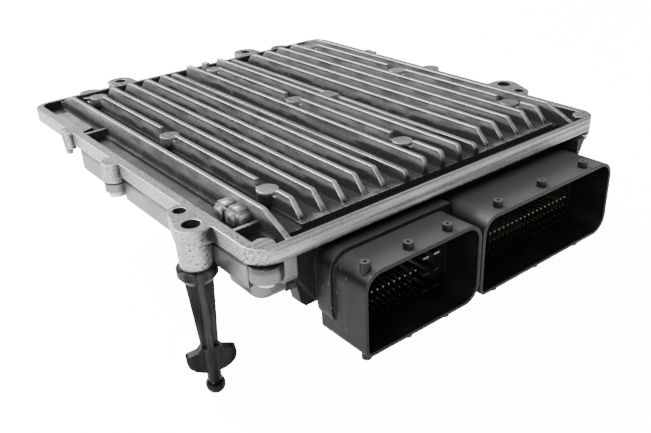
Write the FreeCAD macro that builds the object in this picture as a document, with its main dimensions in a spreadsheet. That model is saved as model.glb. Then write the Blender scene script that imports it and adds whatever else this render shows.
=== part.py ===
import FreeCAD, Part
import math
import os
import re
import Sketcher

# Engine control unit: a finned die-cast cover on a stepped tray, with a two-socket plug header.
# The model frame has +X along the plug side, +Y away from the plugs and +Z up.
# Bodies are drawn about the middle of the cover with z = 0 on the seam under the cover's rim.
# Their placement then puts the origin midway between the two rear ear holes.

doc = FreeCAD.newDocument("engine_control_unit")

# Driving sizes in millimetres
SIZES = [
    ("HousingWidth", 181.0, "cover across the fins"),
    ("HousingDepth", 200.0, "cover along the fins"),
    ("CornerRound", 9.0, "plan radius of the cover corners"),
    ("RimHeight", 5.8, "rim top above the seam"),
    ("SideRimWidth", 4.0, "left and right rim"),
    ("EndRimWidth", 2.3, "front and rear rim"),
    ("GutterFloor", 1.4, "gutter floor above the seam"),
    ("StepInset", 12.4, "side step from the cover edge"),
    ("StepLevel", 2.9, "side step above the seam"),
    ("PlateauLevel", 4.3, "floor between the fins above the seam"),
    ("PlateauInset", 9.5, "fin floor from the front and rear edges"),
    ("FinPitch", 9.42, "spacing of the inner fins"),
    ("FinShift", 2.1, "inner fin group off the centre line"),
    ("FinTop", 11.0, "fin top above the seam"),
    ("LowFinTop", 8.5, "top of the two lower fins"),
    ("FinFoot", 2.6, "fin thickness at its foot"),
    ("FinDraft", 3.4, "draft of the fin sides in degrees"),
    ("FinEndInset", 11.5, "foot of a slanted fin end from the cover edge"),
    ("FinSlope", 6.0, "run of a slanted fin end"),
    ("MiddleFinInset", 9.7, "end of a middle fin from the cover edge"),
    ("FinNose", 2.2, "rounding of the fin ends"),
    ("OuterFinPlace", 75.4, "outer fins from the centre line"),
    ("OuterFinInset", 4.0, "foot of the outer fins from the cover edge"),
    ("OuterFinSlope", 13.0, "run of the outer fin ends"),
    ("OuterFinFall", 0.8, "slanted foot of the outer fins below the rim top"),
    ("OuterFinDraft", 2.4, "draft of the outer fins in degrees"),
    ("PadDiameter", 8.2, "ejector pads that break the fins"),
    ("PadTop", 9.2, "pad top above the seam"),
    ("PadNotch", 13.0, "length of the gap in the fin at a pad"),
    ("PadNotchLevel", 8.2, "fin height in the gap above the seam"),
    ("PadSpacing", 73.0, "pad rows along the fins"),
    ("PadShift", 5.0, "middle pad row from the centre"),
    ("BridgeLength", 8.0, "web that joins two fins"),
    ("BridgeTop", 9.8, "web top above the seam"),
    ("BridgePlace", -1.0, "web from the centre along the fins"),
    ("RibThickness", 1.6, "cross ribs in the left gutter"),
    ("BlockLength", 13.0, "casting block beside the first fin"),
    ("BlockWidth", 6.0, "casting block beside the first fin"),
    ("BlockPlace", -68.5, "casting block from the centre"),
    ("BlockTop", 7.0, "casting block above the seam"),
    ("FloorMargin", 0.6, "fin floor beyond the foot of its last fins"),
    ("FrontRibPlace", -80.7, "front gutter rib from the centre"),
    ("RearRibPlace", 42.0, "rear gutter rib from the centre"),
    ("LandPlace", 62.0, "flat land in the left gutter from the centre"),
    ("LandLength", 29.0, "flat land along the gutter"),
    ("LandWidth", 5.8, "flat land beyond the rim"),
    ("LeftFingerPlace", 51.5, "left locating finger from the centre"),
    ("RightFingerPlace", 52.0, "right locating finger from the centre"),
    ("FingerOut", 0.6, "finger flutes beyond the cover edge"),
    ("FingerSpacing", 4.2, "between the two flutes of a finger"),
    ("FingerRadius", 2.5, "radius of a flute at the rim"),
    ("FingerDraft", 5.0, "draft of the flutes in degrees"),
    ("FingerDrop", 5.5, "finger tip below the seam"),
    ("CavityTop", 1.9, "ceiling of the hollow under the fins"),
    ("CavityInset", 3.0, "hollow inside the fin floor's edges"),
    ("EarHole", 4.8, "small ear hole diameter"),
    ("PinHole", 6.6, "large ear hole diameter"),
    ("RearEarHole", 5.5, "rear ear hole diameter"),
    ("RearEarSpacing", 80.0, "between the rear ear holes"),
    ("RearEarOut", 6.0, "rear ear holes beyond the cover edge"),
    ("RearEarRound", 6.8, "outer radius of the rear ears"),
    ("LeftPinOut", 4.2, "left large hole beyond the cover edge"),
    ("LeftPinPlace", -67.2, "left large hole from the centre"),
    ("RightPinOut", 5.3, "right large hole beyond the cover edge"),
    ("RightPinPlace", -42.7, "right large hole from the centre"),
    ("EarOut", 2.2, "small ear holes beyond the cover edge"),
    ("EarStep", 11.7, "small ear hole from the large one"),
    ("PinEarRound", 6.3, "outer radius round a large ear hole"),
    ("EarRound", 4.4, "outer radius round a small ear hole"),
    ("PinBossRadius", 6.2, "radius of the hanging bosses at the ear"),
    ("PinBossDraft", 2.5, "draft of the hanging bosses in degrees"),
    ("PinBossDrop", 9.9, "hanging boss below the seam"),
    ("SealGap", 0.7, "sealant thickness in the seam"),
    ("SealInset", 0.4, "sealant bead inside the tray's outline"),
    ("SealWidth", 1.8, "width of the sealant bead"),
    ("TrayInset", 0.9, "tray wall inside the cover's side edges"),
    ("TrayRearInset", 3.0, "tray wall inside the cover's rear edge"),
    ("TrayWall", 2.4, "tray wall thickness"),
    ("TrayFloor", 2.0, "tray floor thickness"),
    ("RearInset", 9.5, "rear part of the tray inside the cover edge"),
    ("RearDrop", 8.2, "tray bottom at the rear, below the seam"),
    ("MiddleDrop", 11.7, "tray bottom in the middle, below the seam"),
    ("FrontDrop", 20.2, "bottom of the deep front block, below the seam"),
    ("RearLength", 50.0, "shallow rear part of the tray, to the cover's rear edge"),
    ("FrontSetback", 3.4, "tray front wall behind the cover edge"),
    ("DeepInset", 6.1, "deep block inside the cover's side edges"),
    ("DeepSetback", 11.0, "deep block behind the cover's front edge"),
    ("DeepLength", 22.0, "deep block along the fins"),
    ("TrayRound", 2.2, "rounding of the tray's lower edges"),
    ("TrayCorner", 8.0, "plan radius of the tray corners"),
    ("DeepCorner", 5.0, "plan radius of the deep block corners"),
    ("ScrewInset", 6.2, "corner screws from the cover edges"),
    ("ScrewSetback", 4.9, "corner screws from the cover's front edge"),
    ("BossRound", 6.0, "radius of the corner screw bosses"),
    ("LidBossRound", 3.9, "radius of the corner bosses in the gutter"),
    ("BossDrop", 6.2, "screw bosses below the seam"),
    ("RightBossRound", 3.9, "radius of the right front screw boss"),
    ("RightBossDrop", 2.4, "right front screw boss below the seam"),
    ("RearBossPlace", 60.0, "rear screws from the centre line"),
    ("RearBossInset", 1.4, "rear screws inside the cover edge"),
    ("RearBossRound", 5.6, "radius of the rear screw bosses"),
    ("SideBossOut", 0.6, "side screws beyond the cover edge"),
    ("SideBossRound", 4.7, "radius of the side screw bosses"),
    ("SideBossPlace", 3.5, "side screws from the centre"),
    ("SideBossSeam", 2.2, "lid part of a side boss below the seam"),
    ("SideBossDrop", 6.4, "side screw bosses below the seam"),
    ("ReliefRound", 6.0, "clearance cut for the screw heads"),
    ("ScrewShank", 3.5, "cover screw shank diameter"),
    ("ScrewPlay", 0.3, "play round the cover screws in the tray"),
    ("ScrewHead", 6.8, "cover screw head diameter"),
    ("ScrewHeadHeight", 2.4, "cover screw head height"),
    ("ScrewGrip", 3.6, "cover screw length in the lid above the seam"),
    ("SocketHeight", 33.5, "shroud height"),
    ("SocketTop", 6.8, "shroud top below the seam"),
    ("SocketReach", 16.2, "shroud mouth ahead of the cover edge"),
    ("ShroudWall", 1.4, "shroud wall thickness"),
    ("SmallSocketLeft", -60.7, "left side of the small shroud"),
    ("SmallSocketWidth", 57.0, "small shroud width"),
    ("LargeSocketLeft", -2.9, "left side of the large shroud"),
    ("LargeSocketWidth", 81.1, "large shroud width"),
    ("SocketRound", 7.5, "large corner radius of the shrouds"),
    ("SocketSharp", 3.2, "small corner radius of the shrouds"),
    ("SocketDepth", 18.2, "mouth to socket floor"),
    ("FlangeSetback", 8.0, "flange face behind the cover edge"),
    ("FlangeThickness", 3.2, "header flange"),
    ("FlangeLeft", -72.3, "left end of the flange"),
    ("FlangeRight", 82.3, "right end of the flange"),
    ("FlangeShoulder", 12.3, "start of the flange's slanted ends below the seam"),
    ("FlangeDrop", 26.7, "flange bottom below the seam"),
    ("FlangeRun", 9.6, "run of the flange's slanted ends"),
    ("HeaderBlockDepth", 5.8, "header block behind the flange"),
    ("HeaderBlockDrop", 29.7, "header block bottom below the seam"),
    ("HeaderBlockRun", 5.4, "run of the header block's ends"),
    ("LipThickness", 1.9, "header lip under the cover"),
    ("WebLength", 9.0, "web over the right end of the large shroud"),
    ("WebWidth", 5.4, "thick part of the web"),
    ("WebReach", 7.5, "web ahead of the flange"),
    ("WebDrop", 10.6, "web bottom below the seam"),
    ("WebRun", 4.0, "slant of the web's right end"),
    ("CollarGrowth", 1.6, "collar round the small shroud's root"),
    ("CollarDrop", 35.4, "collar bottom below the seam"),
    ("HeaderGap", 0.6, "sealant gap round the header"),
    ("StudDiameter", 3.7, "studs on the shrouds"),
    ("StudHeight", 2.8, "studs on the shrouds"),
    ("StudBore", 1.2, "bore in the studs"),
    ("StudSetback", 3.9, "studs behind the shroud mouth"),
    ("ContactPitch", 2.58, "contacts along a socket"),
    ("ContactRowPitch", 3.5, "contact rows"),
    ("ContactSize", 0.64, "small contact section"),
    ("ContactLength", 13.0, "contacts above the socket floor"),
    ("BladePitch", 5.4, "blades along the socket"),
    ("BladeRowPitch", 6.9, "blade rows"),
    ("BladeWidth", 2.8, "blade width"),
    ("BladeThickness", 0.8, "blade thickness"),
    ("BladeRise", 1.4, "blade rows above the middle of the shroud"),
    ("PinFieldInset", 5.0, "first small contact from the side of the small shroud"),
    ("LargeFieldInset", 7.7, "first contact from the side of the large shroud"),
    ("BladeInset", 33.4, "first blade from the side of the small shroud"),
    ("BoardThickness", 1.6, "circuit board"),
    ("BoardLevel", 4.6, "underside of the board below the seam"),
    ("PostRound", 3.2, "radius of the board posts"),
    ("BoardScrew", 2.5, "board screw shank diameter"),
    ("BoardScrewHead", 5.0, "board screw head diameter"),
    ("BoardScrewHeadHeight", 1.4, "board screw head height"),
    ("BoardScrewGrip", 2.4, "board screw length under the board"),
    ("BoardInset", 13.5, "board inside the cover's side edges"),
    ("BoardSetback", 19.5, "front edge of the board from the cover's front edge"),
    ("BoardRearInset", 9.0, "rear edge of the board inside the cover's rear edge"),
    ("PostInset", 6.0, "board posts inside the board's sides"),
    ("FrontPostInset", 28.5, "front board posts behind the board's front edge"),
    ("RearPostInset", 7.0, "rear board posts ahead of the board's rear edge"),
    ("ChipHeight", 1.4, "height of the cooled chips"),
    ("ThermalGap", 0.5, "thickness of the thermal pads"),
    ("ProcessorSide", 24.0, "side of the microcontroller"),
    ("ProcessorAcross", 12.0, "microcontroller from the centre line"),
    ("ProcessorPlace", 20.0, "microcontroller from the centre"),
    ("MemorySide", 12.0, "side of the memory chip"),
    ("MemoryAcross", 40.0, "memory chip from the centre line"),
    ("DriverSide", 14.0, "side of a driver chip"),
    ("DriverPitch", 24.0, "spacing of the driver chips"),
    ("DriverPlace", -30.0, "driver chips from the centre"),
    ("RegulatorSide", 9.0, "side of the voltage regulator"),
    ("RegulatorAcross", -40.0, "voltage regulator from the centre line"),
    ("TransistorWidth", 9.0, "power transistor across"),
    ("TransistorLength", 10.0, "power transistor along"),
    ("TransistorPitch", 15.0, "spacing of the power transistors"),
    ("TransistorPlace", 66.0, "power transistors from the centre"),
    ("SensorSide", 7.0, "side of the pressure sensor"),
    ("SensorAcross", 70.0, "pressure sensor from the centre line"),
    ("CrystalLength", 11.0, "quartz crystal length"),
    ("CrystalWidth", 4.6, "quartz crystal width"),
    ("CrystalHeight", 2.4, "quartz crystal height"),
    ("CapacitorDiameter", 10.0, "electrolytic capacitors"),
    ("CapacitorHeight", 12.0, "electrolytic capacitors"),
    ("CapacitorPitch", 22.0, "spacing of the capacitors"),
    ("CapacitorSetback", 24.8, "capacitors behind the cover's front edge"),
    ("CoilDiameter", 12.0, "choke coils"),
    ("CoilHeight", 4.6, "choke coils"),
    ("CoilPitch", 26.0, "spacing of the choke coils"),
    ("CoilPlace", -20.0, "choke coils from the centre"),
    ("VentDiameter", 9.0, "breather membrane"),
    ("VentThickness", 0.6, "breather membrane"),
    ("VentAcross", 55.0, "breather from the centre line"),
    ("VentPlace", 0.0, "breather from the centre"),
    ("PinSeat", 0.35, "pin collar below the hanging boss"),
    ("PinStem", 5.9, "stem diameter in the ear hole"),
    ("PinStemLength", 10.0, "stem length in the hanging boss"),
    ("PinCollar", 14.6, "collar diameter"),
    ("PinCollarHeight", 2.8, "collar height"),
    ("PinNeck", 10.4, "shaft diameter under the collar"),
    ("PinNeckDrop", 5.6, "shaft start below the collar top"),
    ("PinShaftEnd", 6.6, "shaft diameter at the anchor"),
    ("PinRib", 2.4, "thickness of the shaft ribs"),
    ("AnchorDrop", 34.0, "anchor top below the collar top"),
    ("AnchorFall", 3.0, "drop of the anchor's top face to its rim"),
    ("AnchorDiameter", 18.6, "anchor across its wings"),
    ("AnchorEdge", 2.2, "height of the wing tips"),
    ("AnchorThickness", 3.8, "anchor across its flats"),
    ("AnchorHeight", 11.6, "anchor from its top to the neck"),
    ("BallNeck", 5.4, "neck diameter above the ball"),
    ("BallDiameter", 7.6, "ball end"),
    ("BallDrop", 52.2, "ball centre below the collar top"),
    ("PinTwist", -20.5, "turn of the anchor wings about the pin in degrees"),
    ("PinLean", -1.2, "lean of the pin in degrees"),
]

sheet = doc.addObject("Spreadsheet::Sheet", "Sizes")
for row, (alias, value, note) in enumerate(SIZES, start=1):
    sheet.set("A%d" % row, note)
    sheet.set("B%d" % row, str(value))
    sheet.setAlias("B%d" % row, alias)
doc.recompute()

PLANES = {"XY": "XY_Plane", "XZ": "XZ_Plane", "YZ": "YZ_Plane"}


def size(alias):
    return float(sheet.get(alias))


def formula(text):
    return re.sub(r"\b([A-Z][A-Za-z]+)\b", r"Sizes.\1", text)


def bind(thing, field, text):
    thing.setExpression(field, formula(text))


def new_body(label):
    body = doc.addObject("PartDesign::Body", label)
    body.AllowCompound = True
    bind(body, "Placement.Base.y", "-(HousingDepth / 2 + RearEarOut)")
    return body


def new_sketch(body, plane, level="0"):
    sketch = body.newObject("Sketcher::SketchObject", "Sketch")
    for item in body.Origin.OriginFeatures:
        if item.Role == PLANES[plane]:
            sketch.AttachmentSupport = [(item, "")]
    sketch.MapMode = "FlatFace"
    sign = "-" if plane == "XZ" else ""
    bind(sketch, "AttachmentOffset.Base.z", "%s(%s)" % (sign, level))
    return sketch


def hold(sketch, geometry, point, across, up):
    for kind, text in (("DistanceX", across), ("DistanceY", up)):
        where = sketch.getPoint(geometry, point)
        now = where.x if kind == "DistanceX" else where.y
        index = sketch.addConstraint(Sketcher.Constraint(kind, -1, 1, geometry, point, now))
        bind(sketch, "Constraints[%d]" % index, text)


def polygon(sketch, corners):
    count = len(corners)
    turn = 2 * math.pi / count
    spots = [FreeCAD.Vector(50 * math.cos(i * turn), 50 * math.sin(i * turn), 0) for i in range(count)]
    lines = [
        sketch.addGeometry(Part.LineSegment(spots[i], spots[(i + 1) % count])) for i in range(count)
    ]
    for i, line in enumerate(lines):
        after = lines[(i + 1) % count]
        sketch.addConstraint(Sketcher.Constraint("Coincident", line, 2, after, 1))
    for line, (across, up) in zip(lines, corners):
        hold(sketch, line, 1, across, up)


def rectangle(sketch, left, right, low, high):
    polygon(sketch, [(left, low), (right, low), (right, high), (left, high)])


def circle(sketch, across, up, radius):
    ring = sketch.addGeometry(Part.Circle(FreeCAD.Vector(5, 5, 0), FreeCAD.Vector(0, 0, 1), 3))
    hold(sketch, ring, 3, across, up)
    index = sketch.addConstraint(Sketcher.Constraint("Radius", ring, 3))
    bind(sketch, "Constraints[%d]" % index, radius)


def feature(body, kind, sketch, length, reverse, draft=None):
    item = body.newObject("PartDesign::" + kind, kind)
    item.Profile = sketch
    item.Reversed = reverse
    bind(item, "Length", length)
    if draft:
        bind(item, "TaperAngle", draft)
    doc.recompute()
    return item


def pad(body, sketch, length, reverse=False, draft=None):
    return feature(body, "Pad", sketch, length, reverse, draft)


def pocket(body, sketch, length, reverse=False, draft=None):
    before = body.Shape.Volume
    item = feature(body, "Pocket", sketch, length, reverse, draft)
    if not body.Shape.Volume < before - 1e-6:
        raise RuntimeError("a pocket of %s cuts nothing" % body.Label)
    return item


def repeat(body, item, across_span, across_count, up_span, up_count):
    """Grid of one feature along X and Z, by the distance between the first and the last"""
    grid = body.newObject("PartDesign::LinearPattern", "LinearPattern")
    grid.Originals = [item]
    axes = {axis.Role: axis for axis in body.Origin.OriginFeatures}
    grid.Direction = (axes["X_Axis"], [""])
    grid.Direction2 = (axes["Z_Axis"], [""])
    bind(grid, "Length", across_span)
    bind(grid, "Length2", up_span)
    grid.Occurrences = across_count
    grid.Occurrences2 = up_count
    body.Tip = grid
    doc.recompute()
    return grid


def edge_names(shape, chosen):
    return ["Edge%d" % i for i, edge in enumerate(shape.Edges, start=1) if chosen(edge)]


def fillet(body, chosen, radius):
    names = edge_names(body.Tip.Shape, chosen)
    if not names:
        raise RuntimeError("no edge to round on %s" % body.Label)
    base = body.Tip
    item = body.newObject("PartDesign::Fillet", "Fillet")
    item.Base = (base, names)
    bind(item, "Radius", radius)
    doc.recompute()
    return item


def middle(edge):
    return edge.valueAt((edge.FirstParameter + edge.LastParameter) / 2)


def upright(edge):
    box = edge.BoundBox
    return box.ZLength > 1e-3 and box.XLength < 0.3 and box.YLength < 0.3


def along(edge, axis):
    box = edge.BoundBox
    spans = {"x": box.XLength, "y": box.YLength, "z": box.ZLength}
    return all(span < 1e-3 for name, span in spans.items() if name != axis) and spans[axis] > 1e-3


def near(value, target, reach=0.01):
    return abs(value - target) < reach


HALF_WIDTH = size("HousingWidth") / 2
HALF_DEPTH = size("HousingDepth") / 2

# Screws through the tray: place across, place along, boss radius, boss bottom and head level
CORNER_SCREWS = [
    ("-(HousingWidth / 2 - ScrewInset)", "-(HousingDepth / 2 - ScrewSetback)", "BossDrop"),
    ("HousingWidth / 2 - ScrewInset", "-(HousingDepth / 2 - ScrewSetback)", "RightBossDrop"),
]
REAR_SCREWS = [
    ("-RearBossPlace", "HousingDepth / 2 - RearBossInset", "BossDrop"),
    ("RearBossPlace", "HousingDepth / 2 - RearBossInset", "BossDrop"),
]
SIDE_SCREWS = [
    ("-(HousingWidth / 2 + SideBossOut)", "SideBossPlace", "SideBossDrop"),
    ("HousingWidth / 2 + SideBossOut", "SideBossPlace", "SideBossDrop"),
]

REAR_EARS = ["-RearEarSpacing / 2", "RearEarSpacing / 2"]

REAR_START = "(HousingDepth / 2 - RearLength)"

# Board edges and posts, tied to the cover's edges
BOARD_SIDE = "(HousingWidth / 2 - BoardInset)"
BOARD_FRONT = "-(HousingDepth / 2 - BoardSetback)"
BOARD_REAR = "(HousingDepth / 2 - BoardRearInset)"
POST_SIDE = "(HousingWidth / 2 - BoardInset - PostInset)"
FRONT_POST = "-(HousingDepth / 2 - BoardSetback - FrontPostInset)"
REAR_POST = "(HousingDepth / 2 - BoardRearInset - RearPostInset)"
BOARD_POSTS = [(side + POST_SIDE, place) for side in ("-", "") for place in (FRONT_POST, REAR_POST)]

PEDESTAL_DROP = "(BoardLevel - BoardThickness - ChipHeight - ThermalGap)"
DRIVER_PLACES = ["%.1f * DriverPitch" % step for step in (-1.5, -0.5, 0.5, 1.5)]
TRANSISTOR_PLACES = ["%.1f * TransistorPitch" % step for step in (-2.5, -1.5, -0.5, 0.5, 1.5, 2.5)]


def square(across, place, side):
    half = "%s / 2" % side
    return ("%s - %s" % (across, half), "%s + %s" % (across, half),
            "%s - %s" % (place, half), "%s + %s" % (place, half))


def oblong(across, place, width, length):
    return ("%s - %s / 2" % (across, width), "%s + %s / 2" % (across, width),
            "%s - %s / 2" % (place, length), "%s + %s / 2" % (place, length))


PROCESSOR = square("ProcessorAcross", "ProcessorPlace", "ProcessorSide")
REGULATOR = square("RegulatorAcross", "ProcessorPlace", "RegulatorSide")
DRIVERS = [square(across, "DriverPlace", "DriverSide") for across in DRIVER_PLACES]
TRANSISTORS = [oblong(across, "TransistorPlace", "TransistorWidth", "TransistorLength")
               for across in TRANSISTOR_PLACES]
PEDESTALS = [PROCESSOR, REGULATOR] + DRIVERS + TRANSISTORS

# Ears beside the cover: side, large hole out and along, direction of the small hole
SIDE_EARS = [
    (-1, "LeftPinOut", "LeftPinPlace", 1),
    (1, "RightPinOut", "RightPinPlace", -1),
]


def ear_places(side, out, place, step):
    """Centres of the large and the small hole of a side ear"""
    sign = "-" if side < 0 else ""
    large = ("%s(HousingWidth / 2 + %s)" % (sign, out), place)
    small = ("%s(HousingWidth / 2 + EarOut)" % sign, "%s + %d * EarStep" % (place, step))
    return large, small


def ear_web(sketch, side, out, place, step):
    """Flat web of a side ear, tangent to the rounds about its two holes"""
    large, small = ear_places(side, out, place, step)
    root = "%s(HousingWidth / 2 - SideRimWidth)" % ("-" if side < 0 else "")
    run = size("EarOut") - size(out)
    lean = math.asin((size("PinEarRound") - size("EarRound")) / math.hypot(run, size("EarStep")))
    turn = math.atan2(run, size("EarStep")) - lean
    out_part, along_part = side * math.cos(turn), -step * math.sin(turn)
    polygon(sketch, [
        (root, "%s - %d * PinEarRound" % (place, step)),
        (large[0], "%s - %d * PinEarRound" % (place, step)),
        ("%s + (%.6f) * PinEarRound" % (large[0], out_part),
         "%s + (%.6f) * PinEarRound" % (large[1], along_part)),
        ("%s + (%.6f) * EarRound" % (small[0], out_part),
         "%s + (%.6f) * EarRound" % (small[1], along_part)),
        (root, "%s + %d * EarRound" % (small[1], step)),
    ])


def add_ears(body):
    """Rear screw bosses, ears, the hanging bosses under the large holes, and all holes"""
    behind = "HousingDepth / 2 + RearEarOut"
    webs = new_sketch(body, "XY")
    discs = new_sketch(body, "XY")
    bosses = new_sketch(body, "XY")
    for across, along_side, drop in REAR_SCREWS:
        circle(webs, across, along_side, "RearBossRound")
    for ear in SIDE_EARS:
        large, small = ear_places(*ear)
        ear_web(webs, *ear)
        circle(discs, large[0], large[1], "PinEarRound")
        circle(discs, small[0], small[1], "EarRound")
        circle(bosses, large[0], large[1], "PinBossRadius")
    for place in REAR_EARS:
        rectangle(webs, "%s - RearEarRound" % place, "%s + RearEarRound" % place,
                  "HousingDepth / 2 - EndRimWidth", behind)
        circle(discs, place, behind, "RearEarRound")
    pad(body, webs, "RimHeight")
    pad(body, discs, "RimHeight")
    pad(body, bosses, "PinBossDrop", reverse=True, draft="-PinBossDraft")
    bores = new_sketch(body, "XY", "RimHeight")
    holes = new_sketch(body, "XY", "RimHeight")
    for ear in SIDE_EARS:
        large, small = ear_places(*ear)
        circle(bores, large[0], large[1], "PinHole / 2")
        circle(holes, small[0], small[1], "EarHole / 2")
    for place in REAR_EARS:
        circle(holes, place, behind, "RearEarHole / 2")
    pocket(body, bores, "RimHeight + PinBossDrop")
    pocket(body, holes, "RimHeight")


def add_fingers(body):
    """Locating fingers: two tapered flutes side by side that hang from each side"""
    for step, drop in ((-1, "FingerDrop - 3.5"), (1, "FingerDrop")):
        flutes = new_sketch(body, "XY", "RimHeight")
        for sign, place in (("-", "LeftFingerPlace"), ("", "RightFingerPlace")):
            circle(flutes, "%s(HousingWidth / 2 + FingerOut)" % sign,
                   "%s + %d * FingerSpacing / 2" % (place, step), "FingerRadius")
        pad(body, flutes, "RimHeight + %s" % drop, reverse=True, draft="-FingerDraft")


def fin_line(place):
    """Centre line of an inner fin, counted from 2 at the left to 16 at the right"""
    return "FinShift + %d * FinPitch" % (place - 9)


def fins(body, places, level, top, draft):
    """Tapered fins, each given by its centre line and its distance from the cover's ends"""
    feet = new_sketch(body, "XY", level)
    for line, inset in places:
        rectangle(feet, "%s - FinFoot / 2" % line, "%s + FinFoot / 2" % line,
                  "-(HousingDepth / 2 - %s)" % inset, "HousingDepth / 2 - %s" % inset)
    pad(body, feet, "%s - %s" % (top, level), draft=draft)


def slant_ends(body, left, right, inset, slope, foot):
    """Cuts both ends of the fins between two places back to a slope"""
    wedges = new_sketch(body, "YZ", left)
    edge = "HousingDepth / 2"
    for side in (-1, 1):
        polygon(wedges, [
            ("%d * (%s - %s)" % (side, edge, inset), foot),
            ("%d * (%s - %s - %s)" % (side, edge, inset, slope), "FinTop"),
            ("%d * (%s - %s - %s)" % (side, edge, inset, slope), "FinTop + 1"),
            ("%d * (%s - EndRimWidth)" % (side, edge), "FinTop + 1"),
            ("%d * (%s - EndRimWidth)" % (side, edge), foot),
        ])
    pocket(body, wedges, "%s - (%s)" % (right, left), reverse=True)


def add_fins(body):
    """Outer pair, inner rows of which two fins are lower, slanted ends and rounded noses"""
    tall = [(fin_line(i), "FinEndInset") for i in (2, 3, 4, 5, 6, 12, 13, 14, 15, 16)]
    tall += [(fin_line(i), "MiddleFinInset") for i in (8, 9, 10)]
    low = [(fin_line(i), "MiddleFinInset") for i in (7, 11)]
    outer = [("%d * OuterFinPlace" % side, "EndRimWidth") for side in (-1, 1)]
    fins(body, tall, "PlateauLevel", "FinTop", "-FinDraft")
    fins(body, low, "PlateauLevel", "LowFinTop", "-FinDraft")
    fins(body, outer, "GutterFloor", "FinTop", "-OuterFinDraft")
    for first, last in ((2, 6), (12, 16)):
        slant_ends(body, "%s - FinFoot" % fin_line(first), "%s + FinFoot" % fin_line(last),
                   "FinEndInset", "FinSlope", "PlateauLevel")
    for side in (-1, 1):
        slant_ends(body, "%d * OuterFinPlace - FinFoot" % side, "%d * OuterFinPlace + FinFoot" % side,
                   "OuterFinInset", "OuterFinSlope", "RimHeight - OuterFinFall")
    levels = (size("FinTop"), size("LowFinTop"))
    fillet(body, lambda edge: along(edge, "x") and edge.Length < size("FinFoot")
           and any(near(middle(edge).z, level) for level in levels), "FinNose")


def add_pads(body):
    """Gaps in three fins with a round ejector pad in each, and the web between two fins"""
    spots = [(fin_line(fin), "PadShift + %d * PadSpacing" % row) for fin in (2, 9, 16) for row in (-1, 0, 1)]
    gaps = new_sketch(body, "XY", "FinTop")
    discs = new_sketch(body, "XY", "PlateauLevel")
    for across, along_fins in spots:
        rectangle(gaps, "%s - PadDiameter / 2" % across, "%s + PadDiameter / 2" % across,
                  "%s - PadNotch / 2" % along_fins, "%s + PadNotch / 2" % along_fins)
        circle(discs, across, along_fins, "PadDiameter / 2")
    pocket(body, gaps, "FinTop - PadNotchLevel")
    pad(body, discs, "PadTop - PlateauLevel")
    web = new_sketch(body, "XY", "PlateauLevel")
    rectangle(web, fin_line(10), fin_line(11),
              "BridgePlace - BridgeLength / 2", "BridgePlace + BridgeLength / 2")
    pad(body, web, "BridgeTop - PlateauLevel")


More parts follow.
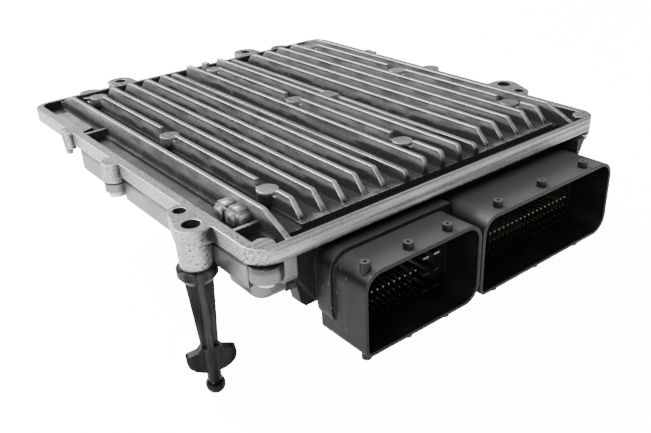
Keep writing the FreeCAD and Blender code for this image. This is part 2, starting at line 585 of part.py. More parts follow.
def make_cover():
    """Die-cast cover with fins, gutter, ears and bosses"""
    body = new_body("finned_cover")
    slab = new_sketch(body, "XY")
    rectangle(slab, "-HousingWidth / 2", "HousingWidth / 2", "-HousingDepth / 2", "HousingDepth / 2")
    pad(body, slab, "RimHeight")
    fillet(body, upright, "CornerRound")
    bosses = new_sketch(body, "XY", "RimHeight")
    for across, along_side, drop in SIDE_SCREWS:
        circle(bosses, across, along_side, "SideBossRound")
    pad(body, bosses, "RimHeight + SideBossSeam", reverse=True)
    trim = new_sketch(body, "XY")
    for side in (-1, 1):
        rectangle(trim, "%d * (HousingWidth / 2 - TrayInset + SealInset)" % side,
                  "%d * (HousingWidth / 2 - TrayInset - SideBossRound)" % side,
                  "SideBossPlace - SideBossRound - 1", "SideBossPlace + SideBossRound + 1")
    pocket(body, trim, "SideBossSeam")

    # Gutter inside the rim
    gutter = new_sketch(body, "XY", "RimHeight")
    rectangle(gutter, "-(HousingWidth / 2 - SideRimWidth)", "HousingWidth / 2 - SideRimWidth",
              "-(HousingDepth / 2 - EndRimWidth)", "HousingDepth / 2 - EndRimWidth")
    pocket(body, gutter, "RimHeight - GutterFloor")
    inner_x = HALF_WIDTH - size("SideRimWidth")
    inner_y = HALF_DEPTH - size("EndRimWidth")
    fillet(body, lambda edge: upright(edge) and near(abs(middle(edge).x), inner_x)
           and near(abs(middle(edge).y), inner_y), "CornerRound - SideRimWidth")

    # Bosses, land and ribs that stand in the gutter at the height of the rim
    islands = new_sketch(body, "XY", "GutterFloor")
    rim_edge = "-(HousingWidth / 2 - SideRimWidth + 1)"
    land_edge = "-(HousingWidth / 2 - SideRimWidth - LandWidth)"
    for across, along_side, drop in CORNER_SCREWS:
        circle(islands, across, along_side, "LidBossRound")
    polygon(islands, [
        (rim_edge, "LandPlace - LandLength / 2 - LandWidth / 2"),
        (land_edge, "LandPlace - LandLength / 2"),
        (land_edge, "LandPlace + LandLength / 2"),
        (rim_edge, "LandPlace + LandLength / 2"),
    ])
    for place in ("FrontRibPlace", "RearRibPlace"):
        rectangle(islands, rim_edge, "-OuterFinPlace",
                  "%s - RibThickness / 2" % place, "%s + RibThickness / 2" % place)
    pad(body, islands, "RimHeight - GutterFloor")
    add_ears(body)
    add_fingers(body)

    # Side step and fin floor
    step = new_sketch(body, "XY", "GutterFloor")
    rectangle(step, "-(HousingWidth / 2 - StepInset)", "HousingWidth / 2 - StepInset",
              "-(HousingDepth / 2 - PlateauInset)", "HousingDepth / 2 - PlateauInset")
    pad(body, step, "StepLevel - GutterFloor")
    floor = new_sketch(body, "XY", "GutterFloor")
    rectangle(floor, "%s - FinFoot / 2 - FloorMargin" % fin_line(2),
              "%s + FinFoot / 2 + FloorMargin" % fin_line(16),
              "-(HousingDepth / 2 - PlateauInset)", "HousingDepth / 2 - PlateauInset")
    pad(body, floor, "PlateauLevel - GutterFloor")

    # Hollow underside with the pedestals that cool the board, and the screw holes
    hollow = new_sketch(body, "XY")
    rectangle(hollow, "%s + CavityInset" % fin_line(2), "%s - CavityInset" % fin_line(16),
              "-(HousingDepth / 2 - PlateauInset - CavityInset)",
              "HousingDepth / 2 - PlateauInset - CavityInset")
    pocket(body, hollow, "CavityTop", reverse=True)
    pedestals = new_sketch(body, "XY", "CavityTop")
    for spot in PEDESTALS:
        rectangle(pedestals, *spot)
    pad(body, pedestals, "CavityTop + %s" % PEDESTAL_DROP, reverse=True)
    threads = new_sketch(body, "XY", "-SideBossSeam")
    for across, along_side, drop in CORNER_SCREWS + REAR_SCREWS + SIDE_SCREWS:
        circle(threads, across, along_side, "ScrewShank / 2")
    pocket(body, threads, "SideBossSeam + ScrewGrip", reverse=True)

    add_fins(body)
    add_pads(body)
    block = new_sketch(body, "XY", "GutterFloor")
    rectangle(block, "-(OuterFinPlace + BlockWidth)", "-OuterFinPlace",
              "BlockPlace - BlockLength / 2", "BlockPlace + BlockLength / 2")
    pad(body, block, "BlockTop - GutterFloor", draft="-FinDraft")
    return body


def tray_outline(inset):
    """Outline of the tray's top, wide at the front and narrower behind, moved in by the inset"""
    side = "(HousingWidth / 2 - TrayInset - (%s))" % inset
    rear_side = "(HousingWidth / 2 - RearInset - (%s))" % inset
    front = "-(HousingDepth / 2 - FrontSetback - (%s))" % inset
    shoulder = REAR_START + " - (%s)" % inset
    rear = "HousingDepth / 2 - TrayRearInset - (%s)" % inset
    right = [(side, front), (side, shoulder), (rear_side, shoulder), (rear_side, rear)]
    left = [("-" + across, up) for across, up in reversed(right)]
    return right + left


def box_sketch(body, level, side, front, rear):
    plan = new_sketch(body, "XY", level)
    rectangle(plan, "-(%s)" % side, side, front, rear)
    return plan


def make_tray():
    """Die-cast tray in three depths, with bosses, posts and the notch for the header"""
    body = new_body("base_tray")
    plan = new_sketch(body, "XY", "-SealGap")
    polygon(plan, tray_outline("0"))
    pad(body, plan, "RearDrop - SealGap", reverse=True)
    front = "-(HousingDepth / 2 - FrontSetback)"
    deep_front = "-(HousingDepth / 2 - DeepSetback)"
    deep_rear = deep_front + " + DeepLength"
    plan = box_sketch(body, "-SealGap", "HousingWidth / 2 - TrayInset", front, REAR_START)
    pad(body, plan, "MiddleDrop - SealGap", reverse=True)
    corner = (HALF_WIDTH - size("TrayInset"), HALF_WIDTH - size("RearInset"))
    ends = (size("FrontSetback") - HALF_DEPTH, HALF_DEPTH - size("RearLength"),
            HALF_DEPTH - size("TrayRearInset"))
    fillet(body, lambda edge: upright(edge) and any(near(middle(edge).y, end) for end in ends)
           and (near(abs(middle(edge).x), corner[0]) or near(middle(edge).y, ends[2])), "TrayCorner")
    plan = box_sketch(body, "-RearDrop", "HousingWidth / 2 - DeepInset", deep_front, deep_rear)
    pad(body, plan, "FrontDrop - RearDrop", reverse=True)
    deep = size("DeepSetback") - HALF_DEPTH
    fillet(body, lambda edge: upright(edge) and near(edge.BoundBox.ZMin, -size("FrontDrop"))
           and (near(middle(edge).y, deep) or near(middle(edge).y, deep + size("DeepLength"))), "DeepCorner")
    deep_edge = HALF_WIDTH - size("DeepInset")
    fillet(body, lambda edge: edge.BoundBox.ZLength < 1e-3
           and (near(edge.BoundBox.ZMin, -size("FrontDrop"))
                or (near(edge.BoundBox.ZMin, -size("MiddleDrop"))
                    and (abs(middle(edge).x) > deep_edge + 0.5 or middle(edge).y < deep - 0.5
                         or middle(edge).y > deep + size("DeepLength") + 0.5))), "TrayRound")

    # Hollow inside, following the three depths
    inside = new_sketch(body, "XY", "-SealGap")
    polygon(inside, tray_outline("TrayWall"))
    pocket(body, inside, "RearDrop - TrayFloor - SealGap")
    plan = box_sketch(body, "-SealGap", "HousingWidth / 2 - TrayInset - TrayWall",
                      front + " + TrayWall", REAR_START + " - TrayWall")
    pocket(body, plan, "MiddleDrop - TrayFloor - SealGap")
    plan = box_sketch(body, "-SealGap", "HousingWidth / 2 - DeepInset - TrayWall",
                      deep_front + " + TrayWall", deep_rear + " - TrayWall")
    pocket(body, plan, "FrontDrop - TrayFloor - SealGap")

    # Screw bosses and board posts
    left, right = CORNER_SCREWS
    for screws, radius, level, drop in (
            ([left] + REAR_SCREWS, "BossRound", "SealGap", "BossDrop"),
            ([right], "RightBossRound", "SealGap", "RightBossDrop"),
            (SIDE_SCREWS, "SideBossRound", "(SideBossSeam + SealGap)", "SideBossDrop")):
        bosses = new_sketch(body, "XY", "-" + level)
        for across, along_side, bottom in screws:
            rear = along_side == REAR_SCREWS[0][1]
            circle(bosses, across, along_side, "RearBossRound" if rear else radius)
        pad(body, bosses, "%s - %s" % (drop, level), reverse=True)
    for place, drop in ((FRONT_POST, "MiddleDrop"), (REAR_POST, "RearDrop")):
        posts = new_sketch(body, "XY", "-BoardLevel")
        for side in ("-", ""):
            circle(posts, side + POST_SIDE, place, "PostRound")
        pad(body, posts, "%s - TrayFloor / 2 - BoardLevel" % drop, reverse=True)

    # Thicker walls behind the side and rear screw heads
    sides = new_sketch(body, "XY", "-(SideBossSeam + SealGap)")
    for sign in (-1, 1):
        rectangle(sides, "%d * (HousingWidth / 2 - TrayInset - TrayWall / 2)" % sign,
                  "%d * (HousingWidth / 2 - TrayInset - 3 * TrayWall)" % sign,
                  "SideBossPlace - ReliefRound", "SideBossPlace + ReliefRound")
    pad(body, sides, "MiddleDrop - TrayFloor / 2 - SideBossSeam - SealGap", reverse=True)
    backs = new_sketch(body, "XY", "-(SideBossSeam + SealGap)")
    for sign in (-1, 1):
        rectangle(backs, "%d * (RearBossPlace - ReliefRound)" % sign,
                  "%d * (RearBossPlace + ReliefRound)" % sign,
                  "HousingDepth / 2 - TrayRearInset - 2.2 * TrayWall",
                  "HousingDepth / 2 - TrayRearInset - TrayWall / 2")
    pad(body, backs, "RearDrop - TrayFloor / 2 - SideBossSeam - SealGap", reverse=True)

    # Notch for the header, room for the screw heads, and the holes
    notch = new_sketch(body, "XY")
    rectangle(notch, "FlangeLeft - HeaderGap", "FlangeRight + HeaderGap", "-HousingDepth / 2",
              "-(HousingDepth / 2 - FlangeSetback - FlangeThickness - HeaderBlockDepth - HeaderGap)")
    pocket(body, notch, "FrontDrop + 1")
    relief = new_sketch(body, "XY", "-BossDrop")
    circle(relief, left[0], left[1], "ReliefRound")
    circle(relief, right[0], right[1], "ReliefRound")
    pocket(body, relief, "FrontDrop")
    for screws, level in ((REAR_SCREWS, "BossDrop"), (SIDE_SCREWS, "SideBossDrop")):
        scallops = new_sketch(body, "XY", "-" + level)
        for across, along_side, bottom in screws:
            circle(scallops, across, along_side, "SideBossRound")
        pocket(body, scallops, "MiddleDrop")
    holes = new_sketch(body, "XY")
    for across, along_side, drop in CORNER_SCREWS + REAR_SCREWS + SIDE_SCREWS:
        circle(holes, across, along_side, "ScrewShank / 2 + ScrewPlay")
    circle(holes, "VentAcross", "VentPlace", "VentDiameter / 4")
    pocket(body, holes, "MiddleDrop + 1")
    threads = new_sketch(body, "XY")
    for across, place in BOARD_POSTS:
        circle(threads, across, place, "BoardScrew / 2")
    pocket(body, threads, "RearDrop - TrayFloor / 2")
    return body


def make_cover_seal():
    """Sealant bead between the cover and the tray and header"""
    body = new_body("cover_seal")
    bead = new_sketch(body, "XY")
    polygon(bead, tray_outline("SealInset"))
    pad(body, bead, "SealGap", reverse=True)
    hollow = new_sketch(body, "XY")
    polygon(hollow, tray_outline("SealInset + SealWidth"))
    pocket(body, hollow, "SealGap")
    wide = HALF_WIDTH - size("TrayInset") - size("SealInset")
    rear = HALF_DEPTH - size("TrayRearInset") - size("SealInset")
    for inset, radius in ((0, "TrayCorner - SealInset"),
                          (size("SealWidth"), "TrayCorner - SealInset - SealWidth")):
        fillet(body, lambda edge: upright(edge) and (near(abs(middle(edge).x), wide - inset)
               or near(middle(edge).y, rear - inset)), radius)
    return body


def socket_corners(body, name, width, small, inset):
    """Rounds the long corner edges of one shroud at an inset, with its small corners apart"""
    wall = 0 if inset == "0" else size(inset)
    sides = (size(name) + wall, size(name) + size(width) - wall)
    levels = (-size("SocketTop") - wall, -size("SocketTop") - size("SocketHeight") + wall)
    places = [(side, level) for side in (0, 1) for level in (0, 1)]
    for radius, chosen in (("SocketRound", [place for place in places if place not in small]),
                           ("SocketSharp", small)):
        fillet(body, lambda edge: along(edge, "y") and any(
            near(middle(edge).x, sides[side]) and near(middle(edge).z, levels[level])
            for side, level in chosen), "%s - %s" % (radius, inset))


# Shrouds: left side, width, the corners with the small radius and the studs along the width
SHROUDS = [
    ("SmallSocketLeft", "SmallSocketWidth", ((0, 1),), ("0.065", "0.407", "0.745")),
    ("LargeSocketLeft", "LargeSocketWidth", ((0, 1),), ("0.147", "0.467", "0.80")),
]


def make_header():
    """Plug header in one moulding: two shrouds on a flange with a block behind it"""
    body = new_body("connector_header")
    mouth = "-(HousingDepth / 2 + SocketReach)"
    flange = "-(HousingDepth / 2 - FlangeSetback)"
    top = -size("SocketTop")
    outer = new_sketch(body, "XZ", mouth)
    for left, width, small, studs in SHROUDS:
        rectangle(outer, left, "%s + %s" % (left, width), "-(SocketTop + SocketHeight)", "-SocketTop")
    pad(body, outer, "SocketReach + FlangeSetback", reverse=True)
    inner = new_sketch(body, "XZ", mouth)
    for left, width, small, studs in SHROUDS:
        rectangle(inner, "%s + ShroudWall" % left, "%s + %s - ShroudWall" % (left, width),
                  "-(SocketTop + SocketHeight - ShroudWall)", "-(SocketTop + ShroudWall)")
    pocket(body, inner, "SocketDepth")
    for left, width, small, studs in SHROUDS:
        socket_corners(body, left, width, small, "ShroudWall")
        socket_corners(body, left, width, small, "0")

    # Collar round the root of the small shroud, flange, block and lip
    collar = new_sketch(body, "XZ", "-HousingDepth / 2")
    outline = [
        ("SmallSocketLeft - CollarGrowth", "-SocketTop + CollarGrowth"),
        ("SmallSocketLeft + SmallSocketWidth", "-SocketTop + CollarGrowth"),
        ("SmallSocketLeft + SmallSocketWidth", "-CollarDrop"),
    ]
    for turn in range(270, 179, -15):
        outline.append((
            "SmallSocketLeft - CollarGrowth + SocketRound * (1 + %.4f)" % math.cos(math.radians(turn)),
            "-CollarDrop + SocketRound * (1 + %.4f)" % math.sin(math.radians(turn))))
    polygon(collar, outline)
    pad(body, collar, "FlangeSetback", reverse=True)
    collar_x = size("SmallSocketLeft") - size("CollarGrowth")
    collar_z = top + size("CollarGrowth")
    fillet(body, lambda edge: along(edge, "y") and near(middle(edge).x, collar_x)
           and near(middle(edge).z, collar_z), "SocketRound")
    plate = new_sketch(body, "XZ", flange)
    polygon(plate, [
        ("FlangeLeft", "-SealGap"),
        ("FlangeRight", "-SealGap"),
        ("FlangeRight - 1", "-FlangeShoulder"),
        ("FlangeRight - FlangeRun", "-FlangeDrop"),
        ("FlangeLeft + FlangeRun", "-FlangeDrop"),
        ("FlangeLeft + 0.5", "-FlangeShoulder"),
    ])
    pad(body, plate, "FlangeThickness", reverse=True)
    block = new_sketch(body, "XZ", flange + " + FlangeThickness")
    polygon(block, [
        ("FlangeLeft", "-SealGap"),
        ("FlangeRight", "-SealGap"),
        ("FlangeRight - HeaderBlockRun", "-(HeaderBlockDrop - 1.8)"),
        ("FlangeRight - HeaderBlockRun - 2", "-HeaderBlockDrop"),
        ("FlangeLeft + HeaderBlockRun + 2", "-HeaderBlockDrop"),
        ("FlangeLeft + HeaderBlockRun", "-(HeaderBlockDrop - 1.8)"),
    ])
    pad(body, block, "HeaderBlockDepth", reverse=True)
    lip = new_sketch(body, "XY", "-SealGap")
    rectangle(lip, "FlangeLeft", "FlangeRight", "-(HousingDepth / 2 - FrontSetback)", flange)
    pad(body, lip, "LipThickness", reverse=True)
    web = new_sketch(body, "XZ", flange + " - WebReach")
    polygon(web, [
        ("FlangeRight - WebWidth", "-(SealGap + LipThickness)"),
        ("FlangeRight", "-(SealGap + LipThickness)"),
        ("FlangeRight - WebRun", "-WebDrop"),
        ("FlangeRight - WebWidth", "-WebDrop"),
    ])
    pad(body, web, "WebReach", reverse=True)
    brace = new_sketch(body, "XY", "-(SealGap + LipThickness)")
    polygon(brace, [
        ("FlangeRight - WebLength", flange),
        ("FlangeRight - WebWidth", flange + " - WebReach"),
        ("FlangeRight - WebWidth", flange),
    ])
    pad(body, brace, "SocketTop + ShroudWall / 2 - SealGap - LipThickness", reverse=True)

    # Hollow studs on the top and the underside of both shrouds
    for level, reverse in (("-(SocketTop + ShroudWall)", False),
                           ("-(SocketTop + SocketHeight - ShroudWall)", True)):
        posts = new_sketch(body, "XY", level)
        for left, width, small, studs in SHROUDS:
            for share in studs:
                circle(posts, "%s + %s * %s" % (left, share, width), mouth + " + StudSetback",
                       "StudDiameter / 2")
        pad(body, posts, "StudHeight + ShroudWall", reverse=reverse)
    bores = new_sketch(body, "XY", "-SocketTop + StudHeight")
    for left, width, small, studs in SHROUDS:
        for share in studs:
            circle(bores, "%s + %s * %s" % (left, share, width), mouth + " + StudSetback", "StudBore / 2")
    pocket(body, bores, "StudHeight - 0.5")
    return body


def make_header_seal():
    """Sealant between the header's block and the edges of the tray's notch"""
    body = new_body("header_seal")
    block = "-(HousingDepth / 2 - FlangeSetback - FlangeThickness)"
    run = "HeaderBlockRun * (FrontDrop - SealGap) / (HeaderBlockDrop - 1.8 - SealGap)"
    sides = new_sketch(body, "XZ", block)
    polygon(sides, [
        ("FlangeLeft - HeaderGap", "-SealGap"),
        ("FlangeLeft - HeaderGap", "-FrontDrop"),
        ("FlangeLeft + " + run, "-FrontDrop"),
        ("FlangeLeft", "-SealGap"),
    ])
    polygon(sides, [
        ("FlangeRight + HeaderGap", "-SealGap"),
        ("FlangeRight + HeaderGap", "-FrontDrop"),
        ("FlangeRight - " + run, "-FrontDrop"),
        ("FlangeRight", "-SealGap"),
    ])
    pad(body, sides, "HeaderBlockDepth", reverse=True)
    strip = new_sketch(body, "XZ", block + " + HeaderBlockDepth")
    rectangle(strip, "FlangeLeft - HeaderGap", "FlangeRight + HeaderGap",
              "-FrontDrop", "-(FrontDrop - TrayFloor)")
    pad(body, strip, "HeaderGap", reverse=True)
    return body


def contact_grid(label, first, columns, rows, wide, high, pitch, row_pitch, rise="0"):
    """Contacts in a grid that stand on the socket floor"""
    body = new_body(label)
    root = new_sketch(body, "XZ", "-(HousingDepth / 2 + SocketReach - SocketDepth)")
    low = "-(SocketTop + SocketHeight / 2) + %s - %s * %d / 2 - %s / 2" % (rise, row_pitch, rows - 1, high)
    rectangle(root, "%s - %s / 2" % (first, wide), "%s + %s / 2" % (first, wide), low,
              "%s + %s" % (low, high))
    contact = pad(body, root, "ContactLength")
    repeat(body, contact, "%s * %d" % (pitch, columns - 1), columns,
           "%s * %d" % (row_pitch, rows - 1), rows)
    return body


def make_small_pins():
    return contact_grid("small_socket_pins", "SmallSocketLeft + PinFieldInset", 10, 4,
                        "ContactSize", "ContactSize", "ContactPitch", "ContactRowPitch")


def make_blades():
    return contact_grid("small_socket_blades", "SmallSocketLeft + BladeInset", 2, 3,
                        "BladeWidth", "BladeThickness", "BladePitch", "BladeRowPitch", "BladeRise")


def make_large_pins():
    return contact_grid("large_socket_pins", "LargeSocketLeft + LargeFieldInset", 20, 4,
                        "ContactSize", "ContactSize", "ContactPitch", "ContactRowPitch")


def make_mounting_pin():
    """Push-in mounting pin: stem, collar, cross-shaped shaft, two-winged anchor and ball end"""
    body = new_body("mounting_pin")
    bind(body, "Placement.Base.x", "-(HousingWidth / 2 + LeftPinOut)")
    bind(body, "Placement.Base.y", "LeftPinPlace - HousingDepth / 2 - RearEarOut")
    bind(body, "Placement.Base.z", "-(PinBossDrop + PinSeat)")
    lean = FreeCAD.Rotation(FreeCAD.Vector(0, 1, 0), size("PinLean"))
    twist = FreeCAD.Rotation(FreeCAD.Vector(0, 0, 1), size("PinTwist"))
    body.Placement.Rotation = lean * twist
    profile = new_sketch(body, "XZ")
    polygon(profile, [
        ("0", "PinStemLength"),
        ("PinStem / 2", "PinStemLength"),
        ("PinStem / 2", "0"),
        ("PinCollar / 2", "0"),
        ("PinCollar / 2", "-PinCollarHeight"),
        ("PinNeck / 2", "-PinNeckDrop"),
        ("PinShaftEnd / 2", "-AnchorDrop"),
        ("BallNeck / 2", "-(AnchorDrop + AnchorHeight)"),
        ("BallNeck / 2", "-BallDrop"),
        ("0", "-BallDrop"),
    ])
    turned = body.newObject("PartDesign::Revolution", "Revolution")
    turned.Profile = profile
    turned.ReferenceAxis = (profile, ["V_Axis"])
    turned.Angle = 360
    doc.recompute()
    flutes = new_sketch(body, "XY", "-PinNeckDrop")
    for side in (-1, 1):
        for end in (-1, 1):
            rectangle(flutes, "%d * PinRib / 2" % side, "%d * PinNeck" % side,
                      "%d * PinRib / 2" % end, "%d * PinNeck" % end)
    pocket(body, flutes, "AnchorDrop - PinNeckDrop")
    wings = new_sketch(body, "XZ", "-AnchorThickness / 2")
    half = [
        ("PinShaftEnd / 2", "-AnchorDrop"),
        ("PinShaftEnd / 2 + 1.4", "-(AnchorDrop + 0.6 * AnchorFall)"),
        ("AnchorDiameter / 2 - 1", "-(AnchorDrop + 0.9 * AnchorFall)"),
        ("AnchorDiameter / 2", "-(AnchorDrop + AnchorFall + 0.4)"),
        ("AnchorDiameter / 2", "-(AnchorDrop + AnchorFall + AnchorEdge)"),
    ]
    below = "(AnchorHeight - AnchorFall - AnchorEdge)"
    for turn in (22.5, 45, 67.5):
        half.append(("AnchorDiameter / 2 * %.4f" % math.cos(math.radians(turn)),
                     "-(AnchorDrop + AnchorFall + AnchorEdge + %s * %.4f)" % (
                         below, math.sin(math.radians(turn)))))
    mirrored = [("-(%s)" % across, up) for across, up in reversed(half)]
    polygon(wings, half + [("0", "-(AnchorDrop + AnchorHeight)")] + mirrored)
    pad(body, wings, "AnchorThickness", reverse=True)
    ball = body.newObject("PartDesign::AdditiveSphere", "Sphere")
    axes = {axis.Role: axis for axis in body.Origin.OriginFeatures}
    ball.AttachmentSupport = [(axes["XY_Plane"], "")]
    ball.MapMode = "FlatFace"
    bind(ball, "AttachmentOffset.Base.z", "-BallDrop")
    bind(ball, "Radius", "BallDiameter / 2")
    doc.recompute()
    return body


def make_cover_screws():
    """Six screws driven from below into the cover"""
    body = new_body("cover_screws")
    left, right = CORNER_SCREWS
    for screws, drop in (([left] + REAR_SCREWS, "BossDrop"), ([right], "RightBossDrop"),
                         (SIDE_SCREWS, "SideBossDrop")):
        heads = new_sketch(body, "XY", "-" + drop)
        shanks = new_sketch(body, "XY", "-" + drop)
        for across, along_side, bottom in screws:
            circle(heads, across, along_side, "ScrewHead / 2")
            circle(shanks, across, along_side, "ScrewShank / 2")
        pad(body, heads, "ScrewHeadHeight", reverse=True)
        pad(body, shanks, drop + " + ScrewGrip")
    return body


def make_board():
    """Circuit board on the tray's posts"""
    body = new_body("circuit_board")
    plan = new_sketch(body, "XY", "-BoardLevel")
    rectangle(plan, "-" + BOARD_SIDE, BOARD_SIDE, BOARD_FRONT, BOARD_REAR)
    for across, place in BOARD_POSTS:
        circle(plan, across, place, "BoardScrew / 2 + ScrewPlay")
    pad(body, plan, "BoardThickness")
    return body


def make_board_screws():
    """Screws that hold the board on its posts"""
    body = new_body("board_screws")
    heads = new_sketch(body, "XY", "-(BoardLevel - BoardThickness)")
    shanks = new_sketch(body, "XY", "-(BoardLevel - BoardThickness)")
    for across, place in BOARD_POSTS:
        circle(heads, across, place, "BoardScrewHead / 2")
        circle(shanks, across, place, "BoardScrew / 2")
    pad(body, heads, "BoardScrewHeadHeight")
    pad(body, shanks, "BoardThickness + BoardScrewGrip", reverse=True)
    return body


def blocks(label, plates, height, above=True):
    """Rectangular pieces on the board, each given as (left, right, front, rear)"""
    body = new_body(label)
    plan = new_sketch(body, "XY", "-(BoardLevel - BoardThickness)" if above else "-BoardLevel")
    for left, right, front, rear in plates:
        rectangle(plan, left, right, front, rear)
    pad(body, plan, height, reverse=not above)
    return body


def drums(label, places, radius, height):
    """Round pieces that hang under the board"""
    body = new_body(label)
    plan = new_sketch(body, "XY", "-BoardLevel")
    for across, place in places:
        circle(plan, across, place, radius)
    pad(body, plan, height, reverse=True)
    return body


def make_thermal_pads():
    """Soft pads between the hot chips and the cover's pedestals"""
    body = new_body("thermal_pads")
    plan = new_sketch(body, "XY", "-" + PEDESTAL_DROP)
    for left, right, front, rear in PEDESTALS:
        rectangle(plan, left, right, front, rear)
    pad(body, plan, "ThermalGap", reverse=True)
    return body


def make_vent():
    """Breather membrane bonded over the vent hole inside the tray"""
    body = new_body("vent_membrane")
    plan = new_sketch(body, "XY", "-(MiddleDrop - TrayFloor)")
    circle(plan, "VentAcross", "VentPlace", "VentDiameter / 2")
    pad(body, plan, "VentThickness")
    return body


def make_circuit():
    """The parts soldered to the board"""
    crystal = oblong("ProcessorAcross", "ProcessorPlace - ProcessorSide", "CrystalLength", "CrystalWidth")
    caps = ["%.1f * CapacitorPitch" % step for step in (-2.5, -1.5, -0.5, 0.5, 1.5, 2.5)]
    coils = ["%.1f * CoilPitch" % step for step in (-1.5, -0.5, 0.5, 1.5)]
    return [
        blocks("microcontroller", [PROCESSOR], "ChipHeight"),
        blocks("memory_chip", [square("MemoryAcross", "ProcessorPlace", "MemorySide")], "ChipHeight"),
        blocks("driver_chips", DRIVERS, "ChipHeight"),
        blocks("voltage_regulator", [REGULATOR], "ChipHeight"),
        blocks("power_transistors", TRANSISTORS, "ChipHeight"),
        blocks("quartz_crystal", [crystal], "CrystalHeight"),
        blocks("pressure_sensor", [square("SensorAcross", "ProcessorPlace", "SensorSide")], "ChipHeight"),
        drums("electrolytic_capacitors",
              [(across, "-(HousingDepth / 2 - CapacitorSetback)") for across in caps],
              "CapacitorDiameter / 2", "CapacitorHeight"),
        drums("choke_coils", [(across, "CoilPlace") for across in coils], "CoilDiameter / 2", "CoilHeight"),
    ]


pieces = [
    make_cover(),
    make_tray(),
    make_cover_seal(),
    make_header(),
    make_header_seal(),
    make_small_pins(),
    make_blades(),
    make_large_pins(),
    make_mounting_pin(),
    make_cover_screws(),
    make_board(),
    make_board_screws(),
    make_thermal_pads(),
    make_vent(),
] + make_circuit()
doc.recompute()

for thing in doc.Objects:
    if "Invalid" in thing.State or "Error" in thing.State:
        raise RuntimeError("%s is in state %s" % (thing.Label, thing.State))

os.makedirs("parts", exist_ok=True)
for piece in pieces:
    if piece.Shape.isNull() or not piece.Shape.isValid():
        raise RuntimeError("bad shape for " + piece.Label)
    piece.Shape.exportStep("parts/%s.step" % piece.Label)
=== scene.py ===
import bmesh
import bpy
import math
from mathutils import Matrix, Vector, noise


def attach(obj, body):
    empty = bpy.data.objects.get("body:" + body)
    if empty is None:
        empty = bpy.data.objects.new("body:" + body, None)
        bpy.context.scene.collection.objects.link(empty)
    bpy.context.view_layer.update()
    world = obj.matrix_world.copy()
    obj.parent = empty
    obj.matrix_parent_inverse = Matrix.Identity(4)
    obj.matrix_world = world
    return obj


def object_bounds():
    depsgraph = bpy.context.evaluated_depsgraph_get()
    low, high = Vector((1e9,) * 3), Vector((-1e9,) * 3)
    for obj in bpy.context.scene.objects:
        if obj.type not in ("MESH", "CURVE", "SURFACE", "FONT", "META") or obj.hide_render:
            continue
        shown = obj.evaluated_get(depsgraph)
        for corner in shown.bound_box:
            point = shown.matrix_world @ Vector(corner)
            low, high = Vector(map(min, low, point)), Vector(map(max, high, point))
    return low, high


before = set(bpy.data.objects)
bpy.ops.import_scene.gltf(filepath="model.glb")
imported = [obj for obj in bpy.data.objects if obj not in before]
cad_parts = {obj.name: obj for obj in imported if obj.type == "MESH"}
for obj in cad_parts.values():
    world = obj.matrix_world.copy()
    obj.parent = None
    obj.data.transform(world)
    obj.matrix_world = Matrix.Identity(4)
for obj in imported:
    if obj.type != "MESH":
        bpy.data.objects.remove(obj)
cad_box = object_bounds()

# The camera stands ahead and to the left of the unit and looks down on the fins, as a product
# photographer would with a 41 mm lens. Its place and turn come from the vanishing lines of the
# fins and the lid's edges.
camera_data = bpy.data.cameras.new("camera")
camera_data.sensor_width = 36.0
camera_data.lens = 41.4
camera = bpy.data.objects.new("camera", camera_data)
camera_place = (-0.1938, -0.3776, 0.1212)
heading = math.radians(37.33)
fall = math.radians(27.3)
roll = math.radians(-2.66)
camera.matrix_world = (
    Matrix.Translation(camera_place)
    @ Matrix.Rotation(-heading, 4, "Z")
    @ Matrix.Rotation(math.pi / 2 - fall, 4, "X")
    @ Matrix.Rotation(roll, 4, "Z")
)
bpy.context.collection.objects.link(camera)
bpy.context.scene.camera = camera


# The floor is a sheet of pale matt board under the tip of the mounting pin. It glows like a
# product photographer's light table, white where it is seen and faint where it lights the unit,
# so that it shows no shadow. Colours are sRGB hex values, which linear turns to linear ones.
def linear(code):
    parts = [int(code[i : i + 2], 16) / 255 for i in (1, 3, 5)]
    return tuple(c / 12.92 if c <= 0.04045 else ((c + 0.055) / 1.055) ** 2.4 for c in parts) + (1.0,)


def add(tree, kind, settings=None, inputs=None, output=0):
    """Adds a node and gives one of its outputs; an input is a value or the output that feeds it"""
    made = tree.nodes.new(kind)
    for name, value in (settings or {}).items():
        setattr(made, name, value)
    for name, value in (inputs or {}).items():
        if isinstance(value, bpy.types.NodeSocket):
            tree.links.new(value, made.inputs[name])
        else:
            made.inputs[name].default_value = value
    return made.outputs[output]


def new_material(name):
    made = bpy.data.materials.new(name)
    made.use_nodes = True
    tree = made.node_tree
    return made, tree, tree.nodes["Principled BSDF"]


glow_seen = 14.0
glow_given = 0.3
board_paint, tree, shader = new_material("pale_matt_board")
shader.inputs["Base Color"].default_value = linear("#f4f4f4")
shader.inputs["Roughness"].default_value = 0.9
shader.inputs["Emission Color"].default_value = (1.0, 1.0, 1.0, 1.0)
seen = add(tree, "ShaderNodeLightPath", None, None, "Is Camera Ray")
glow = add(tree, "ShaderNodeMapRange", None, {0: seen, 3: glow_given, 4: glow_seen})
tree.links.new(glow, shader.inputs["Emission Strength"])
reach = 6.0
gap_below = 0.0002
under = cad_box[0][2] - gap_below
corners = [(-reach, -reach, under), (reach, -reach, under), (reach, reach, under), (-reach, reach, under)]
floor_mesh = bpy.data.meshes.new("floor")
floor_mesh.from_pydata(corners, [], [(0, 1, 2, 3)])
floor_mesh.materials.append(board_paint)
floor = bpy.data.objects.new("floor", floor_mesh)
bpy.context.collection.objects.link(floor)

